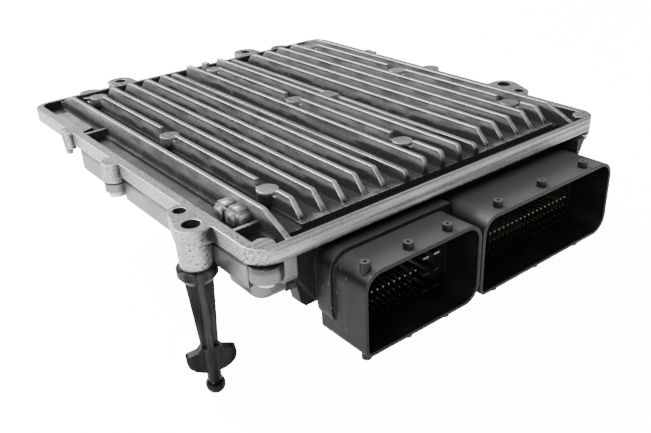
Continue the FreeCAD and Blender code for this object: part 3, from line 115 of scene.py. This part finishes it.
# Soft studio light: a white tent that is brighter overhead than at the sides, a wide softbox
# behind and above that the fins mirror, and a smaller one from the front left for the plug side.
world = bpy.data.worlds.new("white_tent")
world.use_nodes = True
tree = world.node_tree
upward = add(tree, "ShaderNodeSeparateXYZ", None, {0: add(tree, "ShaderNodeTexCoord")}, 2)
share = add(tree, "ShaderNodeMapRange", None, {0: upward, 1: 0.1, 2: 0.8})
tent = add(tree, "ShaderNodeMix", {"data_type": "RGBA"}, {
    0: share, 6: linear("#7f8286"), 7: linear("#ffffff"),
}, 2)
# The tent's cloth is white where it is seen, and its folds at the sides give the grey reflections
seen = add(tree, "ShaderNodeLightPath", None, None, "Is Camera Ray")
white_cloth = (glow_seen, glow_seen, glow_seen, 1.0)
tent = add(tree, "ShaderNodeMix", {"data_type": "RGBA"}, {0: seen, 6: tent, 7: white_cloth}, 2)
tree.links.new(tent, tree.nodes["Background"].inputs["Color"])
tree.nodes["Background"].inputs["Strength"].default_value = 0.9
bpy.context.scene.world = world
middle = Vector((0.0, -0.1, 0.0))
for name, place, width, power in (
    ("back_softbox", (-0.35, 0.75, 0.9), 0.9, 34.0),
    ("front_softbox", (-0.9, -0.6, 0.7), 0.6, 10.0),
):
    light_data = bpy.data.lights.new(name, "AREA")
    light_data.size = width
    light_data.energy = power
    light = bpy.data.objects.new(name, light_data)
    light.location = place
    light.rotation_euler = (middle - Vector(place)).to_track_quat("-Z", "Y").to_euler()
    bpy.context.collection.objects.link(light)


# Base tray: the same die-cast aluminium as the cover, but cast smoother and washed, so it is even
# in tone with a faint green cast. Its inner corners get painted shade, and the walls under the seam a
# painted shadow.
# Heights are taken from the seam under the cover, which is at zero.
def dress(names, material):
    for name in names:
        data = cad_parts[name].data
        data.materials.clear()
        data.materials.append(material)


tray_top = -0.0007
tray_skin, tree, shader = new_material("die_cast_aluminium_washed")
metre = add(tree, "ShaderNodeTexCoord", None, None, "Object")
# The grain is 0.9 mm wide here, coarser than the real 0.2 mm, so that it shows
grain = add(tree, "ShaderNodeTexNoise", None, {"Vector": metre, "Scale": 1 / 0.0009, "Detail": 3.0})
stain = add(tree, "ShaderNodeTexNoise", None, {"Vector": metre, "Scale": 1 / 0.018, "Detail": 5.0})
share = add(tree, "ShaderNodeMapRange", None, {0: stain, 1: 0.35, 2: 0.65})
skin = add(tree, "ShaderNodeMix", {"data_type": "RGBA"}, {
    0: share, 6: linear("#747775"), 7: linear("#959896"),
}, 2)
share = add(tree, "ShaderNodeMapRange", None, {0: grain, 1: 0.42, 2: 0.30, 4: 0.5})
skin = add(tree, "ShaderNodeMix", {"data_type": "RGBA"}, {0: share, 6: skin, 7: linear("#55554f")}, 2)
# Painted shade: the inner corners, where little light reaches, are darkened towards #2f2d29
open_sky = add(tree, "ShaderNodeAmbientOcclusion", {"samples": 6, "only_local": True}, {
    "Distance": 0.006,
}, "AO")
share = add(tree, "ShaderNodeMapRange", None, {0: open_sky, 1: 0.75, 2: 0.30, 4: 0.8})
skin = add(tree, "ShaderNodeMix", {"data_type": "RGBA"}, {0: share, 6: skin, 7: linear("#2f2d29")}, 2)
# Painted shadow under the seam: it darkens the top 2 mm of the walls, more in some places
level = add(tree, "ShaderNodeSeparateXYZ", None, {0: metre}, 2)
ragged = add(tree, "ShaderNodeMapRange", None, {0: stain, 1: 0.4, 2: 0.6, 3: 0.55, 4: 0.95})
seam_shadow = add(tree, "ShaderNodeMapRange", None, {
    0: level, 1: tray_top - 0.0023, 2: tray_top - 0.0011, 4: ragged,
})
skin = add(tree, "ShaderNodeMix", {"data_type": "RGBA"}, {0: seam_shadow, 6: skin, 7: linear("#1d1914")}, 2)
tree.links.new(skin, shader.inputs["Base Color"])
shader.inputs["Metallic"].default_value = 0.85
rough = add(tree, "ShaderNodeMapRange", None, {0: stain, 1: 0.3, 2: 0.7, 3: 0.26, 4: 0.42})
tree.links.new(rough, shader.inputs["Roughness"])
soft = add(tree, "ShaderNodeBevel", {"samples": 4}, {"Radius": 0.0005})
relief = add(tree, "ShaderNodeBump", None, {
    "Strength": 0.4, "Distance": 0.0002, "Height": grain, "Normal": soft,
})
tree.links.new(relief, shader.inputs["Normal"])
dress(["base_tray"], tray_skin)

# Breather: a disc of white porous film that lets the unit's air out and keeps water away. It is
# punched from a sheet and bonded over the hole in the tray's floor. Its pores are drawn 0.5 mm
# wide, far coarser than real ones, so that they show.
film, tree, shader = new_material("porous_breather_film")
metre = add(tree, "ShaderNodeTexCoord", None, None, "Object")
pores = add(tree, "ShaderNodeTexNoise", None, {"Vector": metre, "Scale": 1 / 0.0005})
colour = add(tree, "ShaderNodeMix", {"data_type": "RGBA"}, {
    0: pores, 6: linear("#d8d8d4"), 7: linear("#f2f2ef"),
}, 2)
tree.links.new(colour, shader.inputs["Base Color"])
shader.inputs["Roughness"].default_value = 0.8
dress(["vent_membrane"], film)

# Circuit board: glass-epoxy laminate under a green solder mask, screwed to four posts of the
# tray. Its copper runs show through as paler lines about 1 mm apart.
laminate, tree, shader = new_material("solder_masked_laminate")
metre = add(tree, "ShaderNodeTexCoord", None, None, "Object")
runs = add(tree, "ShaderNodeTexBrick", {"offset": 0.5}, {
    "Vector": metre, "Scale": 1 / 0.004, "Mortar Size": 0.06, "Color1": linear("#0f5a2c"),
    "Color2": linear("#0c4d26"), "Mortar": linear("#2b8049"),
})
tree.links.new(runs, shader.inputs["Base Color"])
shader.inputs["Roughness"].default_value = 0.35
dress(["circuit_board"], laminate)

# Chips, transistors and the pressure sensor: black resin, moulded round the silicon and soldered
# to the board. Its silica filler gives a fine sparkle, drawn 0.6 mm wide so that it shows.
resin, tree, shader = new_material("black_moulding_resin")
metre = add(tree, "ShaderNodeTexCoord", None, None, "Object")
silica = add(tree, "ShaderNodeTexNoise", None, {"Vector": metre, "Scale": 1 / 0.0006})
share = add(tree, "ShaderNodeMapRange", None, {0: silica, 1: 0.5, 2: 0.7})
colour = add(tree, "ShaderNodeMix", {"data_type": "RGBA"}, {
    0: share, 6: linear("#1a1a1a"), 7: linear("#3a3a3a"),
}, 2)
tree.links.new(colour, shader.inputs["Base Color"])
shader.inputs["Roughness"].default_value = 0.55
dress(["microcontroller", "memory_chip", "driver_chips", "voltage_regulator", "power_transistors",
       "pressure_sensor"], resin)

# Cans of the capacitors and the crystal: drawn aluminium and nickel, soldered to the board.
# Drawing leaves fine lines up their sides, 0.5 mm apart here so that they show.
can, tree, shader = new_material("drawn_aluminium_can")
metre = add(tree, "ShaderNodeTexCoord", None, None, "Object")
drawn = add(tree, "ShaderNodeMapping", None, {"Vector": metre, "Scale": (1.0, 1.0, 0.05)})
lines = add(tree, "ShaderNodeTexNoise", None, {"Vector": drawn, "Scale": 1 / 0.0005})
colour = add(tree, "ShaderNodeMix", {"data_type": "RGBA"}, {
    0: lines, 6: linear("#b5b6b8"), 7: linear("#e2e3e4"),
}, 2)
tree.links.new(colour, shader.inputs["Base Color"])
shader.inputs["Metallic"].default_value = 1.0
rough = add(tree, "ShaderNodeMapRange", None, {0: lines, 1: 0.3, 2: 0.7, 3: 0.25, 4: 0.4})
tree.links.new(rough, shader.inputs["Roughness"])
dress(["electrolytic_capacitors", "quartz_crystal"], can)

# Choke coils: wire inside drums of dark ferrite, which are pressed from powder and fired, so that
# they are dull and slightly grainy. The grain is drawn 0.8 mm wide so that it shows.
ferrite, tree, shader = new_material("dark_ferrite")
metre = add(tree, "ShaderNodeTexCoord", None, None, "Object")
grit = add(tree, "ShaderNodeTexNoise", None, {"Vector": metre, "Scale": 1 / 0.0008})
colour = add(tree, "ShaderNodeMix", {"data_type": "RGBA"}, {
    0: grit, 6: linear("#202020"), 7: linear("#3d3b39"),
}, 2)
tree.links.new(colour, shader.inputs["Base Color"])
shader.inputs["Roughness"].default_value = 0.65
dress(["choke_coils"], ferrite)

# Plug header: black glass-filled polyester, moulded in one piece. Fine texture and a low sheen.
# Brown dust lies on the left collar and under the lid. The socket interiors get painted shade, the
# shrouds' tops a painted sheen, and the edges are rubbed bright with a painted highlight.
cover_front = -0.2060
shroud_top = -0.0068
header_plastic, tree, shader = new_material("glass_filled_polyester_black")
metre = add(tree, "ShaderNodeTexCoord", None, None, "Object")
across = add(tree, "ShaderNodeSeparateXYZ", None, {0: metre}, 0)
along = add(tree, "ShaderNodeSeparateXYZ", None, {0: metre}, 1)
# The mould's texture is 0.8 mm wide here, coarser than the real 0.1 mm, so that it shows
fleck = add(tree, "ShaderNodeTexNoise", None, {"Vector": metre, "Scale": 1 / 0.0008, "Detail": 3.0})
cloud = add(tree, "ShaderNodeTexNoise", None, {"Vector": metre, "Scale": 1 / 0.009, "Detail": 6.0})
# Water has drawn the dust down into runs 2 mm wide
drawn = add(tree, "ShaderNodeMapping", None, {"Vector": metre, "Scale": (1.0, 1.0, 0.15)})
runs = add(tree, "ShaderNodeTexNoise", None, {"Vector": drawn, "Scale": 1 / 0.002, "Detail": 3.0})
chips = add(tree, "ShaderNodeTexNoise", None, {"Vector": metre, "Scale": 1 / 0.0015, "Detail": 3.0})
share = add(tree, "ShaderNodeMapRange", None, {0: cloud, 1: 0.35, 2: 0.7})
black = add(tree, "ShaderNodeMix", {"data_type": "RGBA"}, {
    0: share, 6: linear("#09090a"), 7: linear("#141415"),
}, 2)
# The dust thins out to the right and towards the mouths, and little of it lies on the flange
dusty_left = add(tree, "ShaderNodeMapRange", None, {0: across, 1: -0.020, 2: -0.060})
dusty_root = add(tree, "ShaderNodeMapRange", None, {
    0: along, 1: cover_front - 0.010, 2: cover_front + 0.006,
})
flange = add(tree, "ShaderNodeMapRange", None, {
    0: along, 1: cover_front + 0.0025, 2: cover_front, 3: 0.3,
})
dusty = add(tree, "ShaderNodeMath", {"operation": "MULTIPLY"}, {0: dusty_left, 1: dusty_root})
dusty = add(tree, "ShaderNodeMath", {"operation": "MULTIPLY"}, {0: dusty, 1: flange})
film = add(tree, "ShaderNodeMapRange", None, {0: runs, 1: 0.38, 2: 0.62, 3: 0.05, 4: 0.55})
film = add(tree, "ShaderNodeMath", {"operation": "MULTIPLY"}, {0: dusty, 1: film})
black = add(tree, "ShaderNodeMix", {"data_type": "RGBA"}, {0: film, 6: black, 7: linear("#423d36")}, 2)
chip = add(tree, "ShaderNodeMapRange", None, {0: chips, 1: 0.64, 2: 0.70, 4: 0.8})
chip = add(tree, "ShaderNodeMath", {"operation": "MULTIPLY"}, {0: dusty, 1: chip})
black = add(tree, "ShaderNodeMix", {"data_type": "RGBA"}, {0: chip, 6: black, 7: linear("#857c6d")}, 2)
open_sky = add(tree, "ShaderNodeAmbientOcclusion", {"samples": 6, "only_local": True}, {
    "Distance": 0.014,
}, "AO")
# Painted sheen: the upward faces of the shrouds' tops are lightened towards grey, as the bright light
# overhead shows on them
face = add(tree, "ShaderNodeNewGeometry", None, None, "Normal")
upward = add(tree, "ShaderNodeSeparateXYZ", None, {0: face}, 2)
level = add(tree, "ShaderNodeSeparateXYZ", None, {0: metre}, 2)
tops = add(tree, "ShaderNodeMapRange", None, {
    0: level, 1: shroud_top - 0.0057, 2: shroud_top - 0.0037, 4: 0.6,
})
overlay = add(tree, "ShaderNodeMapRange", None, {0: upward, 1: 0.5, 2: 0.95, 4: tops})
black = add(tree, "ShaderNodeMix", {"data_type": "RGBA"}, {0: overlay, 6: black, 7: linear("#626264")}, 2)
# Painted shade: where little light reaches, as in the socket interiors, the colour goes to near black
dark = add(tree, "ShaderNodeMapRange", None, {0: open_sky, 1: 0.60, 2: 0.25})
black = add(tree, "ShaderNodeMix", {"data_type": "RGBA"}, {0: dark, 6: black, 7: linear("#070707")}, 2)
# Rubbed edges with a painted highlight: where a rounded normal leaves the face's own
soft = add(tree, "ShaderNodeBevel", {"samples": 4}, {"Radius": 0.0006})
match = add(tree, "ShaderNodeVectorMath", {"operation": "DOT_PRODUCT"}, {0: soft, 1: face}, "Value")
edge = add(tree, "ShaderNodeMapRange", None, {0: match, 1: 0.99, 2: 0.92, 4: 0.45})
black = add(tree, "ShaderNodeMix", {"data_type": "RGBA"}, {0: edge, 6: black, 7: linear("#47474a")}, 2)
tree.links.new(black, shader.inputs["Base Color"])
shader.inputs["Specular IOR Level"].default_value = 0.28
rough = add(tree, "ShaderNodeMapRange", None, {0: open_sky, 1: 0.7, 2: 0.3, 3: 0.40, 4: 0.85})
tree.links.new(rough, shader.inputs["Roughness"])
relief = add(tree, "ShaderNodeBump", None, {
    "Strength": 0.35, "Distance": 0.00015, "Height": fleck, "Normal": soft,
})
tree.links.new(relief, shader.inputs["Normal"])
dress(["connector_header"], header_plastic)

# Contacts: stamped copper alloy with a thin pale gold plating, moulded into the header. Only the
# upper rows catch light; the lower rows and the contacts deep in the sockets get painted shade.
upper_rows = -0.0185
lower_rows = -0.0225
plating, tree, shader = new_material("gold_plated_copper_alloy")
metre = add(tree, "ShaderNodeTexCoord", None, None, "Object")
tone = add(tree, "ShaderNodeTexNoise", None, {"Vector": metre, "Scale": 1 / 0.006, "Detail": 3.0})
gold = add(tree, "ShaderNodeMix", {"data_type": "RGBA"}, {
    0: tone, 6: linear("#5a564e"), 7: linear("#86816f"),
}, 2)
# Painted shade: deep in the sockets and on the lower rows the gold is darkened to near black
open_sky = add(tree, "ShaderNodeAmbientOcclusion", {"samples": 6}, {"Distance": 0.012}, "AO")
dark = add(tree, "ShaderNodeMapRange", None, {0: open_sky, 1: 0.55, 2: 0.15})
level = add(tree, "ShaderNodeSeparateXYZ", None, {0: metre}, 2)
lower = add(tree, "ShaderNodeMapRange", None, {0: level, 1: upper_rows, 2: lower_rows})
coverage = add(tree, "ShaderNodeMath", {"operation": "MAXIMUM"}, {0: dark, 1: lower})
gold = add(tree, "ShaderNodeMix", {"data_type": "RGBA"}, {0: coverage, 6: gold, 7: linear("#12100e")}, 2)
tree.links.new(gold, shader.inputs["Base Color"])
shader.inputs["Metallic"].default_value = 0.9
rough = add(tree, "ShaderNodeMapRange", None, {0: coverage, 3: 0.35, 4: 0.7})
tree.links.new(rough, shader.inputs["Roughness"])
dress(["small_socket_pins", "small_socket_blades", "large_socket_pins"], plating)

# Thermal pads: soft grey silicone sheet filled with ceramic powder, cut to size and laid on the
# hot chips, so that the cover presses on them. The powder is drawn 1 mm wide so that it shows.
pad_silicone, tree, shader = new_material("ceramic_filled_silicone")
metre = add(tree, "ShaderNodeTexCoord", None, None, "Object")
powder = add(tree, "ShaderNodeTexNoise", None, {"Vector": metre, "Scale": 1 / 0.001})
colour = add(tree, "ShaderNodeMix", {"data_type": "RGBA"}, {
    0: powder, 6: linear("#a2a8ae"), 7: linear("#bfc4c8"),
}, 2)
tree.links.new(colour, shader.inputs["Base Color"])
shader.inputs["Roughness"].default_value = 0.85
dress(["thermal_pads"], pad_silicone)

# Sealant: black silicone pressed into the seam when the lid was closed. It has gone dull, with
# brown dust on it.
sealant, tree, shader = new_material("cured_silicone_sealant")
metre = add(tree, "ShaderNodeTexCoord", None, None, "Object")
coverage = add(tree, "ShaderNodeTexNoise", None, {"Vector": metre, "Scale": 1 / 0.004, "Detail": 4.0})
share = add(tree, "ShaderNodeMapRange", None, {0: coverage, 1: 0.48, 2: 0.68})
colour = add(tree, "ShaderNodeMix", {"data_type": "RGBA"}, {
    0: share, 6: linear("#0e0d0c"), 7: linear("#4a3f31"),
}, 2)
tree.links.new(colour, shader.inputs["Base Color"])
shader.inputs["Roughness"].default_value = 0.8
relief = add(tree, "ShaderNodeBump", None, {"Strength": 0.6, "Distance": 0.0003, "Height": coverage})
tree.links.new(relief, shader.inputs["Normal"])
dress(["cover_seal", "header_seal"], sealant)

# Finned cover: high-pressure die-cast aluminium, used as cast. The skin is mid grey and finely
# speckled, the edges and fin tops are rubbed bright with a painted highlight, and brown-black road
# dirt lies between the fins and in the gutters, most of all at the plug side, with painted shade between
# the fins.
cover_side = 0.0905
fin_top = 0.0110
rim_top = 0.0058
fin_floor = 0.0043
cast_skin, tree, shader = new_material("die_cast_aluminium_as_cast")
metre = add(tree, "ShaderNodeTexCoord", None, None, "Object")
across = add(tree, "ShaderNodeSeparateXYZ", None, {0: metre}, 0)
along = add(tree, "ShaderNodeSeparateXYZ", None, {0: metre}, 1)
height = add(tree, "ShaderNodeSeparateXYZ", None, {0: metre}, 2)
# The grain of the cast skin is 0.8 mm here, coarser than the real 0.2 mm, so that it shows
grain = add(tree, "ShaderNodeTexNoise", None, {"Vector": metre, "Scale": 1 / 0.0008, "Detail": 4.0})
# Stains of the casting are about 12 mm wide, and wiping marks 1 mm wide run along the fins
stain = add(tree, "ShaderNodeTexNoise", None, {"Vector": metre, "Scale": 1 / 0.012, "Detail": 5.0})
drawn = add(tree, "ShaderNodeMapping", None, {"Vector": metre, "Scale": (1.0, 0.04, 1.0)})
wiped = add(tree, "ShaderNodeTexNoise", None, {"Vector": drawn, "Scale": 1 / 0.001, "Detail": 4.0})
tone = add(tree, "ShaderNodeMath", {"operation": "MULTIPLY_ADD"}, {0: wiped, 1: 0.6, 2: -0.3})
tone = add(tree, "ShaderNodeMath", None, {0: tone, 1: stain})
share = add(tree, "ShaderNodeMapRange", None, {0: tone, 1: 0.36, 2: 0.64})
skin = add(tree, "ShaderNodeMix", {"data_type": "RGBA"}, {
    0: share, 6: linear("#848585"), 7: linear("#babab9"),
}, 2)
# The rim and ears stand outside the fins and are brighter, with coarse light and dark specks
reach_out = add(tree, "ShaderNodeMath", {"operation": "ABSOLUTE"}, {0: across})
outer = add(tree, "ShaderNodeMapRange", None, {
    0: reach_out, 1: cover_side - 0.0060, 2: cover_side - 0.0040,
})
below = add(tree, "ShaderNodeMapRange", None, {0: height, 1: 0.0008, 2: -0.0005})
rim = add(tree, "ShaderNodeMath", {"operation": "MAXIMUM"}, {0: outer, 1: below})
share = add(tree, "ShaderNodeMath", {"operation": "MULTIPLY"}, {0: rim, 1: 0.6})
skin = add(tree, "ShaderNodeMix", {"data_type": "RGBA"}, {0: share, 6: skin, 7: linear("#c6c6c3")}, 2)
# The front wall above the plugs is brushed bright, with marks that run across the unit
crosswise = add(tree, "ShaderNodeMapping", None, {"Vector": metre, "Scale": (0.012, 1.0, 1.0)})
brushed = add(tree, "ShaderNodeTexNoise", None, {"Vector": crosswise, "Scale": 1 / 0.0012, "Detail": 4.0})
wall = add(tree, "ShaderNodeMapRange", None, {
    0: along, 1: cover_front + 0.0088, 2: cover_front + 0.0080,
})
wall = add(tree, "ShaderNodeMath", {"operation": "MULTIPLY"}, {0: wall, 1: 0.9})
share = add(tree, "ShaderNodeMapRange", None, {0: brushed, 1: 0.40, 2: 0.60})
bright = add(tree, "ShaderNodeMix", {"data_type": "RGBA"}, {
    0: share, 6: linear("#7a7b7c"), 7: linear("#c2c2c1"),
}, 2)
skin = add(tree, "ShaderNodeMix", {"data_type": "RGBA"}, {0: wall, 6: skin, 7: bright}, 2)
strength = add(tree, "ShaderNodeMapRange", None, {0: rim, 3: 0.2, 4: 0.95})
share = add(tree, "ShaderNodeMapRange", None, {0: grain, 1: 0.55, 2: 0.72, 4: strength})
skin = add(tree, "ShaderNodeMix", {"data_type": "RGBA"}, {0: share, 6: skin, 7: linear("#e2e2df")}, 2)
share = add(tree, "ShaderNodeMapRange", None, {0: grain, 1: 0.45, 2: 0.33, 4: strength})
skin = add(tree, "ShaderNodeMix", {"data_type": "RGBA"}, {0: share, 6: skin, 7: linear("#45423f")}, 2)
# The tops of the fins are rubbed paler than the rest and carry a painted highlight
crest = add(tree, "ShaderNodeMapRange", None, {
    0: height, 1: fin_top - 0.0012, 2: fin_top - 0.0003, 4: 0.7,
})
skin = add(tree, "ShaderNodeMix", {"data_type": "RGBA"}, {0: crest, 6: skin, 7: linear("#b0afac")}, 2)
# Dirt and painted shade: the colour darkens where little light reaches and lower down the fins, most of
# all towards the plug side
open_sky = add(tree, "ShaderNodeAmbientOcclusion", {"samples": 8, "only_local": True}, {
    "Distance": 0.012,
}, "AO")
hollow = add(tree, "ShaderNodeMapRange", None, {0: open_sky, 1: 0.95, 2: 0.52})
deep = add(tree, "ShaderNodeMapRange", None, {
    0: height, 1: fin_top - 0.0006, 2: fin_floor + 0.0007, 3: 0.08, 4: 1.75,
})
front = add(tree, "ShaderNodeMapRange", None, {
    0: along, 1: cover_front + 0.056, 2: cover_front + 0.014, 3: 0.80, 4: 1.35,
})
uneven = add(tree, "ShaderNodeMapRange", None, {0: tone, 1: 0.35, 2: 0.62, 3: 0.65, 4: 1.15})
dirt_and_shade = add(tree, "ShaderNodeMath", {"operation": "MULTIPLY"}, {0: hollow, 1: deep})
dirt_and_shade = add(tree, "ShaderNodeMath", {"operation": "MULTIPLY"}, {0: dirt_and_shade, 1: front})
dirt_and_shade = add(tree, "ShaderNodeMath", {"operation": "MULTIPLY"}, {0: dirt_and_shade, 1: uneven})
# In the gutter ahead of the fins dirt lies even where the sky is open
low = add(tree, "ShaderNodeMapRange", None, {
    0: height, 1: rim_top + 0.0008, 2: fin_floor + 0.0002, 4: 0.8,
})
near_plugs = add(tree, "ShaderNodeMapRange", None, {
    0: along, 1: cover_front + 0.028, 2: cover_front + 0.016,
})
overlay = add(tree, "ShaderNodeMath", {"operation": "MULTIPLY"}, {0: low, 1: near_plugs})
patchy = add(tree, "ShaderNodeMapRange", None, {0: stain, 1: 0.36, 2: 0.54})
overlay = add(tree, "ShaderNodeMath", {"operation": "MULTIPLY"}, {0: overlay, 1: patchy})
walls = add(tree, "ShaderNodeMath", {"operation": "MAXIMUM"}, {0: rim, 1: wall})
inside = add(tree, "ShaderNodeMath", {"operation": "SUBTRACT"}, {0: 1.0, 1: walls})
overlay = add(tree, "ShaderNodeMath", {"operation": "MULTIPLY"}, {0: overlay, 1: inside})
dirt_and_shade = add(tree, "ShaderNodeMath", {"operation": "ADD", "use_clamp": True}, {0: dirt_and_shade, 1: overlay})
# The colour of the dirt, which also stands for the painted shade between the fins
share = add(tree, "ShaderNodeMapRange", None, {0: grain, 1: 0.45, 2: 0.70})
grime_and_shade = add(tree, "ShaderNodeMix", {"data_type": "RGBA"}, {
    0: share, 6: linear("#040403"), 7: linear("#221c17"),
}, 2)
colour = add(tree, "ShaderNodeMix", {"data_type": "RGBA"}, {0: dirt_and_shade, 6: skin, 7: grime_and_shade}, 2)
# Its edges are rubbed bright with a painted highlight in the same way as the header's, but not down in the
# gutters
soft = add(tree, "ShaderNodeBevel", {"samples": 8}, {"Radius": 0.0009})
face = add(tree, "ShaderNodeNewGeometry", None, None, "Normal")
match = add(tree, "ShaderNodeVectorMath", {"operation": "DOT_PRODUCT"}, {0: soft, 1: face}, "Value")
edge_strength = add(tree, "ShaderNodeMapRange", None, {0: wiped, 1: 0.40, 2: 0.60, 3: 0.05, 4: 0.42})
edge = add(tree, "ShaderNodeMapRange", None, {0: match, 1: 0.995, 2: 0.92, 4: edge_strength})
proud = add(tree, "ShaderNodeMapRange", None, {0: open_sky, 1: 0.60, 2: 0.82})
rubbed_and_highlit = add(tree, "ShaderNodeMath", {"operation": "MULTIPLY"}, {0: edge, 1: proud})
colour = add(tree, "ShaderNodeMix", {"data_type": "RGBA"}, {0: rubbed_and_highlit, 6: colour, 7: linear("#e2e2df")}, 2)
tree.links.new(colour, shader.inputs["Base Color"])
metal_share = add(tree, "ShaderNodeMath", {"operation": "SUBTRACT", "use_clamp": True}, {0: 0.95, 1: dirt_and_shade})
tree.links.new(metal_share, shader.inputs["Metallic"])
rough = add(tree, "ShaderNodeMapRange", None, {0: dirt_and_shade, 1: 0.0, 2: 0.8, 3: 0.34, 4: 0.9})
tree.links.new(rough, shader.inputs["Roughness"])
relief = add(tree, "ShaderNodeBump", None, {
    "Strength": 0.4, "Distance": 0.0003, "Height": grain, "Normal": soft,
})
tree.links.new(relief, shader.inputs["Normal"])
dress(["finned_cover"], cast_skin)

# Casting lumps beside the first fin: two rounded knobs where the ejectors pressed on the cover,
# one behind the other, part of the same casting. They are a little uneven, as cast.
gutter_floor = 0.0014
lumps_across = -0.0784
corner_round = 0.0016
wave_length = 0.003
wave_height = 0.00008
lumps = bmesh.new()
for centre, length, width, top in ((-0.1781, 0.0086, 0.0086, 0.0087), (-0.1704, 0.0084, 0.0082, 0.0080)):
    knob = bmesh.new()
    size = (width, length, top - gutter_floor)
    place = (lumps_across, centre, (top + gutter_floor) / 2)
    corners = bmesh.ops.create_cube(knob, size=1.0)["verts"]
    bmesh.ops.scale(knob, vec=size, verts=corners)
    bmesh.ops.bevel(knob, geom=knob.edges[:], offset=corner_round, segments=5, affect="EDGES")
    bmesh.ops.translate(knob, vec=place, verts=knob.verts[:])
    knob_mesh = bpy.data.meshes.new("knob")
    knob.to_mesh(knob_mesh)
    knob.free()
    lumps.from_mesh(knob_mesh)
    bpy.data.meshes.remove(knob_mesh)
for vertex in lumps.verts:
    vertex.co += noise.noise_vector(vertex.co / wave_length) * wave_height
for side in lumps.faces:
    side.smooth = True
lump_mesh = bpy.data.meshes.new("casting_lumps")
lumps.to_mesh(lump_mesh)
lumps.free()
lump_mesh.materials.append(cast_skin)
casting_lumps = bpy.data.objects.new("casting_lumps", lump_mesh)
bpy.context.collection.objects.link(casting_lumps)
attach(casting_lumps, "root")

# Screws: zinc-plated steel. Four hold the board to its posts and six are driven from below through
# the tray into the cover. They are the brightest metal on the unit.
zinc, tree, shader = new_material("zinc_plated_steel")
metre = add(tree, "ShaderNodeTexCoord", None, None, "Object")
bloom = add(tree, "ShaderNodeTexNoise", None, {"Vector": metre, "Scale": 1 / 0.0015, "Detail": 3.0})
colour = add(tree, "ShaderNodeMix", {"data_type": "RGBA"}, {
    0: bloom, 6: linear("#b9b8b0"), 7: linear("#ecebe6"),
}, 2)
tree.links.new(colour, shader.inputs["Base Color"])
shader.inputs["Metallic"].default_value = 1.0
rough = add(tree, "ShaderNodeMapRange", None, {0: bloom, 1: 0.3, 2: 0.7, 3: 0.2, 4: 0.36})
tree.links.new(rough, shader.inputs["Roughness"])
dress(["cover_screws", "board_screws"], zinc)

# Mounting pin: grey-black polyamide, injection moulded and pushed into the left ear's boss. The
# shaft has a low sheen, and the ball end is polished by the grommet that it sits in.
ball_neck = -0.0575
disc_level = -0.0470
polyamide, tree, shader = new_material("moulded_polyamide_grey_black")
metre = add(tree, "ShaderNodeTexCoord", None, None, "Object")
height = add(tree, "ShaderNodeSeparateXYZ", None, {0: metre}, 2)
scuff = add(tree, "ShaderNodeTexNoise", None, {"Vector": metre, "Scale": 1 / 0.0025, "Detail": 5.0})
# Paler streaks 2.5 mm wide run along the shaft, as handling scuffs and a painted sheen, and few on the
# disc and the ball
shaft = add(tree, "ShaderNodeMapRange", None, {0: height, 1: disc_level, 2: disc_level + 0.006, 3: 0.3})
drawn = add(tree, "ShaderNodeMapping", None, {"Vector": metre, "Scale": (1.0, 1.0, 0.12)})
streaks = add(tree, "ShaderNodeTexNoise", None, {"Vector": drawn, "Scale": 1 / 0.0025, "Detail": 4.0})
share = add(tree, "ShaderNodeMapRange", None, {0: streaks, 1: 0.38, 2: 0.62, 4: shaft})
colour = add(tree, "ShaderNodeMix", {"data_type": "RGBA"}, {
    0: share, 6: linear("#040404"), 7: linear("#3c3c3e"),
}, 2)
tree.links.new(colour, shader.inputs["Base Color"])
rough = add(tree, "ShaderNodeMapRange", None, {
    0: height, 1: ball_neck, 2: ball_neck + 0.003, 3: 0.10, 4: 0.30,
})
tree.links.new(rough, shader.inputs["Roughness"])
soft = add(tree, "ShaderNodeBevel", {"samples": 4}, {"Radius": 0.0004})
relief = add(tree, "ShaderNodeBump", None, {
    "Strength": 0.15, "Distance": 0.0002, "Height": scuff, "Normal": soft,
})
tree.links.new(relief, shader.inputs["Normal"])
shader.inputs["Specular IOR Level"].default_value = 0.12
dress(["mounting_pin"], polyamide)
